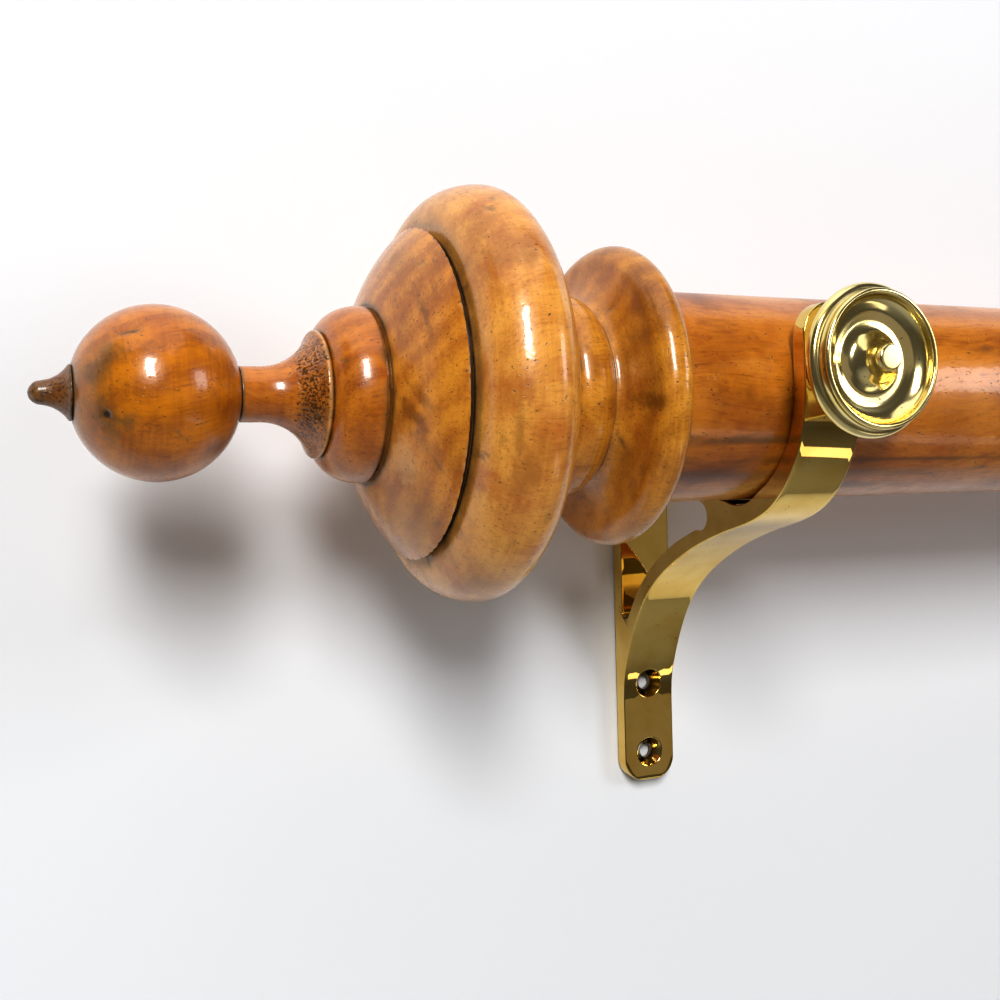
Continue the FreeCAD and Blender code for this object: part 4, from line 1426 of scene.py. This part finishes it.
@dataclass
class Studio:
    """A plain room: pale wall and floor, a tall window to the left, soft light, and the camera."""

    wall_y: float = 0.0008     # just behind the plates, so that no faces coincide
    floor_z: float = -2.6
    reach: float = 6.0
    eye: tuple = (-0.7815, -0.3919, 0.0853)
    heading: float = 23.96     # degrees from +Y towards +X
    pitch: float = -0.48
    roll: float = -1.5
    lens: float = 43.6
    target: tuple = (-0.66, -0.10, 0.11)   # what the lamps face
    sky: str = "#D9D2C8"
    sky_strength: float = 0.15
    gamma: float = 0.80

    def sheet(self, name: str, corners: list, ground: PlainGround) -> None:
        """A flat staged sheet.

        Args:
            name: its name.
            corners: four corners in metres, in the order that makes it face the object.
            ground: its paint.
        """
        mesh = bpy.data.meshes.new(name)
        mesh.from_pydata(corners, [], [(0, 1, 2, 3)])
        sheet = bpy.data.objects.new(name, mesh)
        bpy.context.scene.collection.objects.link(sheet)
        mesh.materials.append(ground.make())

    def light(self, name: str, azimuth: float, elevation: float, distance: float, size: tuple, power: float,
              colour: str) -> None:
        """An area light that faces the object.

        Args:
            name: its name.
            azimuth: degrees to the right of straight out of the wall.
            elevation: degrees up.
            distance: metres from the target.
            size: width and height in metres.
            power: watts.
            colour: sRGB hex.
        """
        lamp = bpy.data.lights.new(name, "AREA")
        lamp.shape = "RECTANGLE"
        lamp.size, lamp.size_y = size
        lamp.energy = power
        lamp.color = linear(colour)[:3]
        holder = bpy.data.objects.new(name, lamp)
        a, e = math.radians(azimuth), math.radians(elevation)
        way = Vector((math.sin(a) * math.cos(e), -math.cos(a) * math.cos(e), math.sin(e)))
        holder.location = Vector(self.target) + way * distance
        holder.rotation_euler = way.to_track_quat("Z", "Y").to_euler()
        bpy.context.scene.collection.objects.link(holder)

    def camera(self) -> None:
        """The camera: heading from +Y towards +X, then pitch, then roll."""
        t, p, r = (math.radians(v) for v in (self.heading, self.pitch, self.roll))
        ahead = Vector((math.sin(t) * math.cos(p), math.cos(t) * math.cos(p), math.sin(p)))
        right = Vector((math.cos(t), -math.sin(t), 0.0))
        up = right.cross(ahead)
        x_axis = math.cos(r) * right + math.sin(r) * up
        y_axis = -math.sin(r) * right + math.cos(r) * up
        data = bpy.data.cameras.new("camera")
        data.lens = self.lens
        data.sensor_width = 36.0
        data.clip_start = 0.01
        holder = bpy.data.objects.new("camera", data)
        turned = Matrix((x_axis, y_axis, -ahead)).transposed()
        holder.matrix_world = Matrix.Translation(self.eye) @ turned.to_4x4()
        bpy.context.scene.collection.objects.link(holder)
        bpy.context.scene.camera = holder

    def build(self) -> None:
        """Sets the stage, the lights, the sky and the camera."""
        far = self.reach
        around = ((-far, -far), (far, -far), (far, far), (-far, far))
        self.sheet("stage_wall", [(x, self.wall_y, max(z, self.floor_z)) for x, z in around],
                   PlainGround("matt_painted_plaster", "#F0F3F8", one_sided=True))
        self.sheet("stage_floor", [(x, y, self.floor_z) for x, y in around],
                   PlainGround("matt_painted_floor", "#D2D2D1"))
        for name, lamp in LAMPS.items():
            self.light(name, *lamp)
        world = bpy.data.worlds.new("pale_room")
        bpy.context.scene.world = world
        world.use_nodes = True
        world.node_tree.nodes.clear()
        sky = add(world.node_tree, "Background", {"Color": linear(self.sky), "Strength": self.sky_strength})
        add(world.node_tree, "OutputWorld", {"Surface": sky})
        view = bpy.context.scene.view_settings
        view.view_transform = "Standard"
        view.gamma = self.gamma
        self.camera()


# What the years have left on each finial, by piece, and a greyish film painted low on the left dome and big ring as a
# reflection.
LEFT_MARKS = {
    "ball": [Mark(149.6, -22.0, 0.65, 0.75, depth=0.8, dirt_and_painted_light=1.5, ragged=0.15),
             Mark(149.6, -22.0, 2.6, 2.8, dirt_and_painted_light=0.30), Mark(149.1, 27.0, 3.0, 3.4, dirt_and_painted_light=0.36),
             Mark(151.8, 16.0, 2.4, 2.8, dirt_and_painted_light=0.34),
             Mark(148.3, -37.0, 2.0, 4.0, depth=0.12, dirt_and_painted_light=0.36), Mark(144.6, -25.0, 1.6, 2.4, depth=0.1, dirt_and_painted_light=0.36),
             Mark(143.2, 40.0, 2.2, 0.5, depth=0.25, dirt_and_painted_light=0.9, lean=0.7),
             Mark(153.0, -5.0, 5.0, 14.0, dirt_and_painted_light=0.26), Mark(147.0, 0.0, 7.0, 20.0, dirt_and_painted_light=0.15)],
    "dome": [Mark(74.8, 28.0, 0.7, 8.0, dirt_and_painted_light=0.15, tone=-0.6, lean=0.04),
             Mark(78.1, -13.0, 1.8, 3.6, tone=-0.6, lean=0.5), Mark(76.5, -6.0, 1.2, 4.0, tone=-0.5, lean=0.5),
             Mark(76.0, -24.0, 2.6, 5.0, tone=-0.35, lean=0.4), Mark(78.0, -38.0, 2.4, 6.0, tone=0.55),
             # Mark(73.0, -62.0, ...) paints a greyish film low on the dome: a painted reflection.
             Mark(74.7, 66.0, 3.0, 12.0, tone=-0.4), Mark(73.0, -62.0, 5.0, 14.0, dirt_and_painted_light=0.30),
             Mark(72.0, 52.0, 3.0, 9.0, dirt_and_painted_light=0.16)],
    "big_ring": [Mark(52.7, 30.7, 3.2, 3.8, depth=0.12, tone=0.7),
                 Mark(52.7, 30.7, 2.0, 2.6, depth=0.3, dirt_and_painted_light=0.25, tone=-0.9),
                 Mark(48.8, -36.0, 1.3, 2.6, depth=0.2, dirt_and_painted_light=0.4),
                 Mark(57.1, 52.0, 0.7, 2.4, depth=0.2, dirt_and_painted_light=0.5, lean=0.3),
                 Mark(59.5, -13.0, 1.2, 9.0, tone=-0.5), Mark(46.0, 24.0, 0.8, 7.0, depth=0.12, tone=0.5),
                 # Mark(58.0, -66.0, ...) paints a greyish film low on the big ring: a painted reflection.
                 Mark(46.5, -20.0, 1.4, 16.0, dirt_and_painted_light=0.25), Mark(58.0, -66.0, 6.0, 12.0, dirt_and_painted_light=0.28)],
    "base": [Mark(12.2, -6.4, 1.8, 2.4, tone=-0.36), Mark(11.6, -4.0, 0.8, 5.0, tone=-0.2),
             Mark(13.0, 10.0, 4.0, 16.0, tone=-0.3)],
    "stem": [Mark(91.7, 20.6, 0.9, 1.1, depth=0.12, dirt_and_painted_light=0.5), Mark(99.0, -30.0, 3.0, 5.0, dirt_and_painted_light=0.25)],
}
RIGHT_MARKS = {
    "ball": [Mark(140.0, 62.0, 2.0, 2.4, depth=0.5, dirt_and_painted_light=1.0), Mark(148.0, -70.0, 6.0, 12.0, dirt_and_painted_light=0.4, tone=-0.6)],
    "dome": [Mark(76.0, -50.0, 2.0, 6.0, dirt_and_painted_light=0.6, tone=-1.0)],
    "big_ring": [Mark(55.0, 74.0, 2.6, 3.0, depth=0.3, dirt_and_painted_light=0.7, tone=-0.7), Mark(47.0, -60.0, 2.0, 8.0, tone=-0.7)],
    "base": [Mark(12.0, 50.0, 3.0, 6.0, tone=-0.8)],
}
BRACKET_X = 552.0


def main() -> None:
    """Builds the object, sub-assembly by sub-assembly, and the room round it."""
    logging.basicConfig(level=logging.INFO, format="%(message)s")
    Studio().build()
    Pole().build()
    Finial("left", LEFT_MARKS, 100).build()
    Finial("right", RIGHT_MARKS, 200).build()
    for side, x in (("left", -BRACKET_X), ("right", BRACKET_X)):
        WallBracket(side, x).build()
        Clamp(side, x).build()


if __name__ == "__main__":
    main()
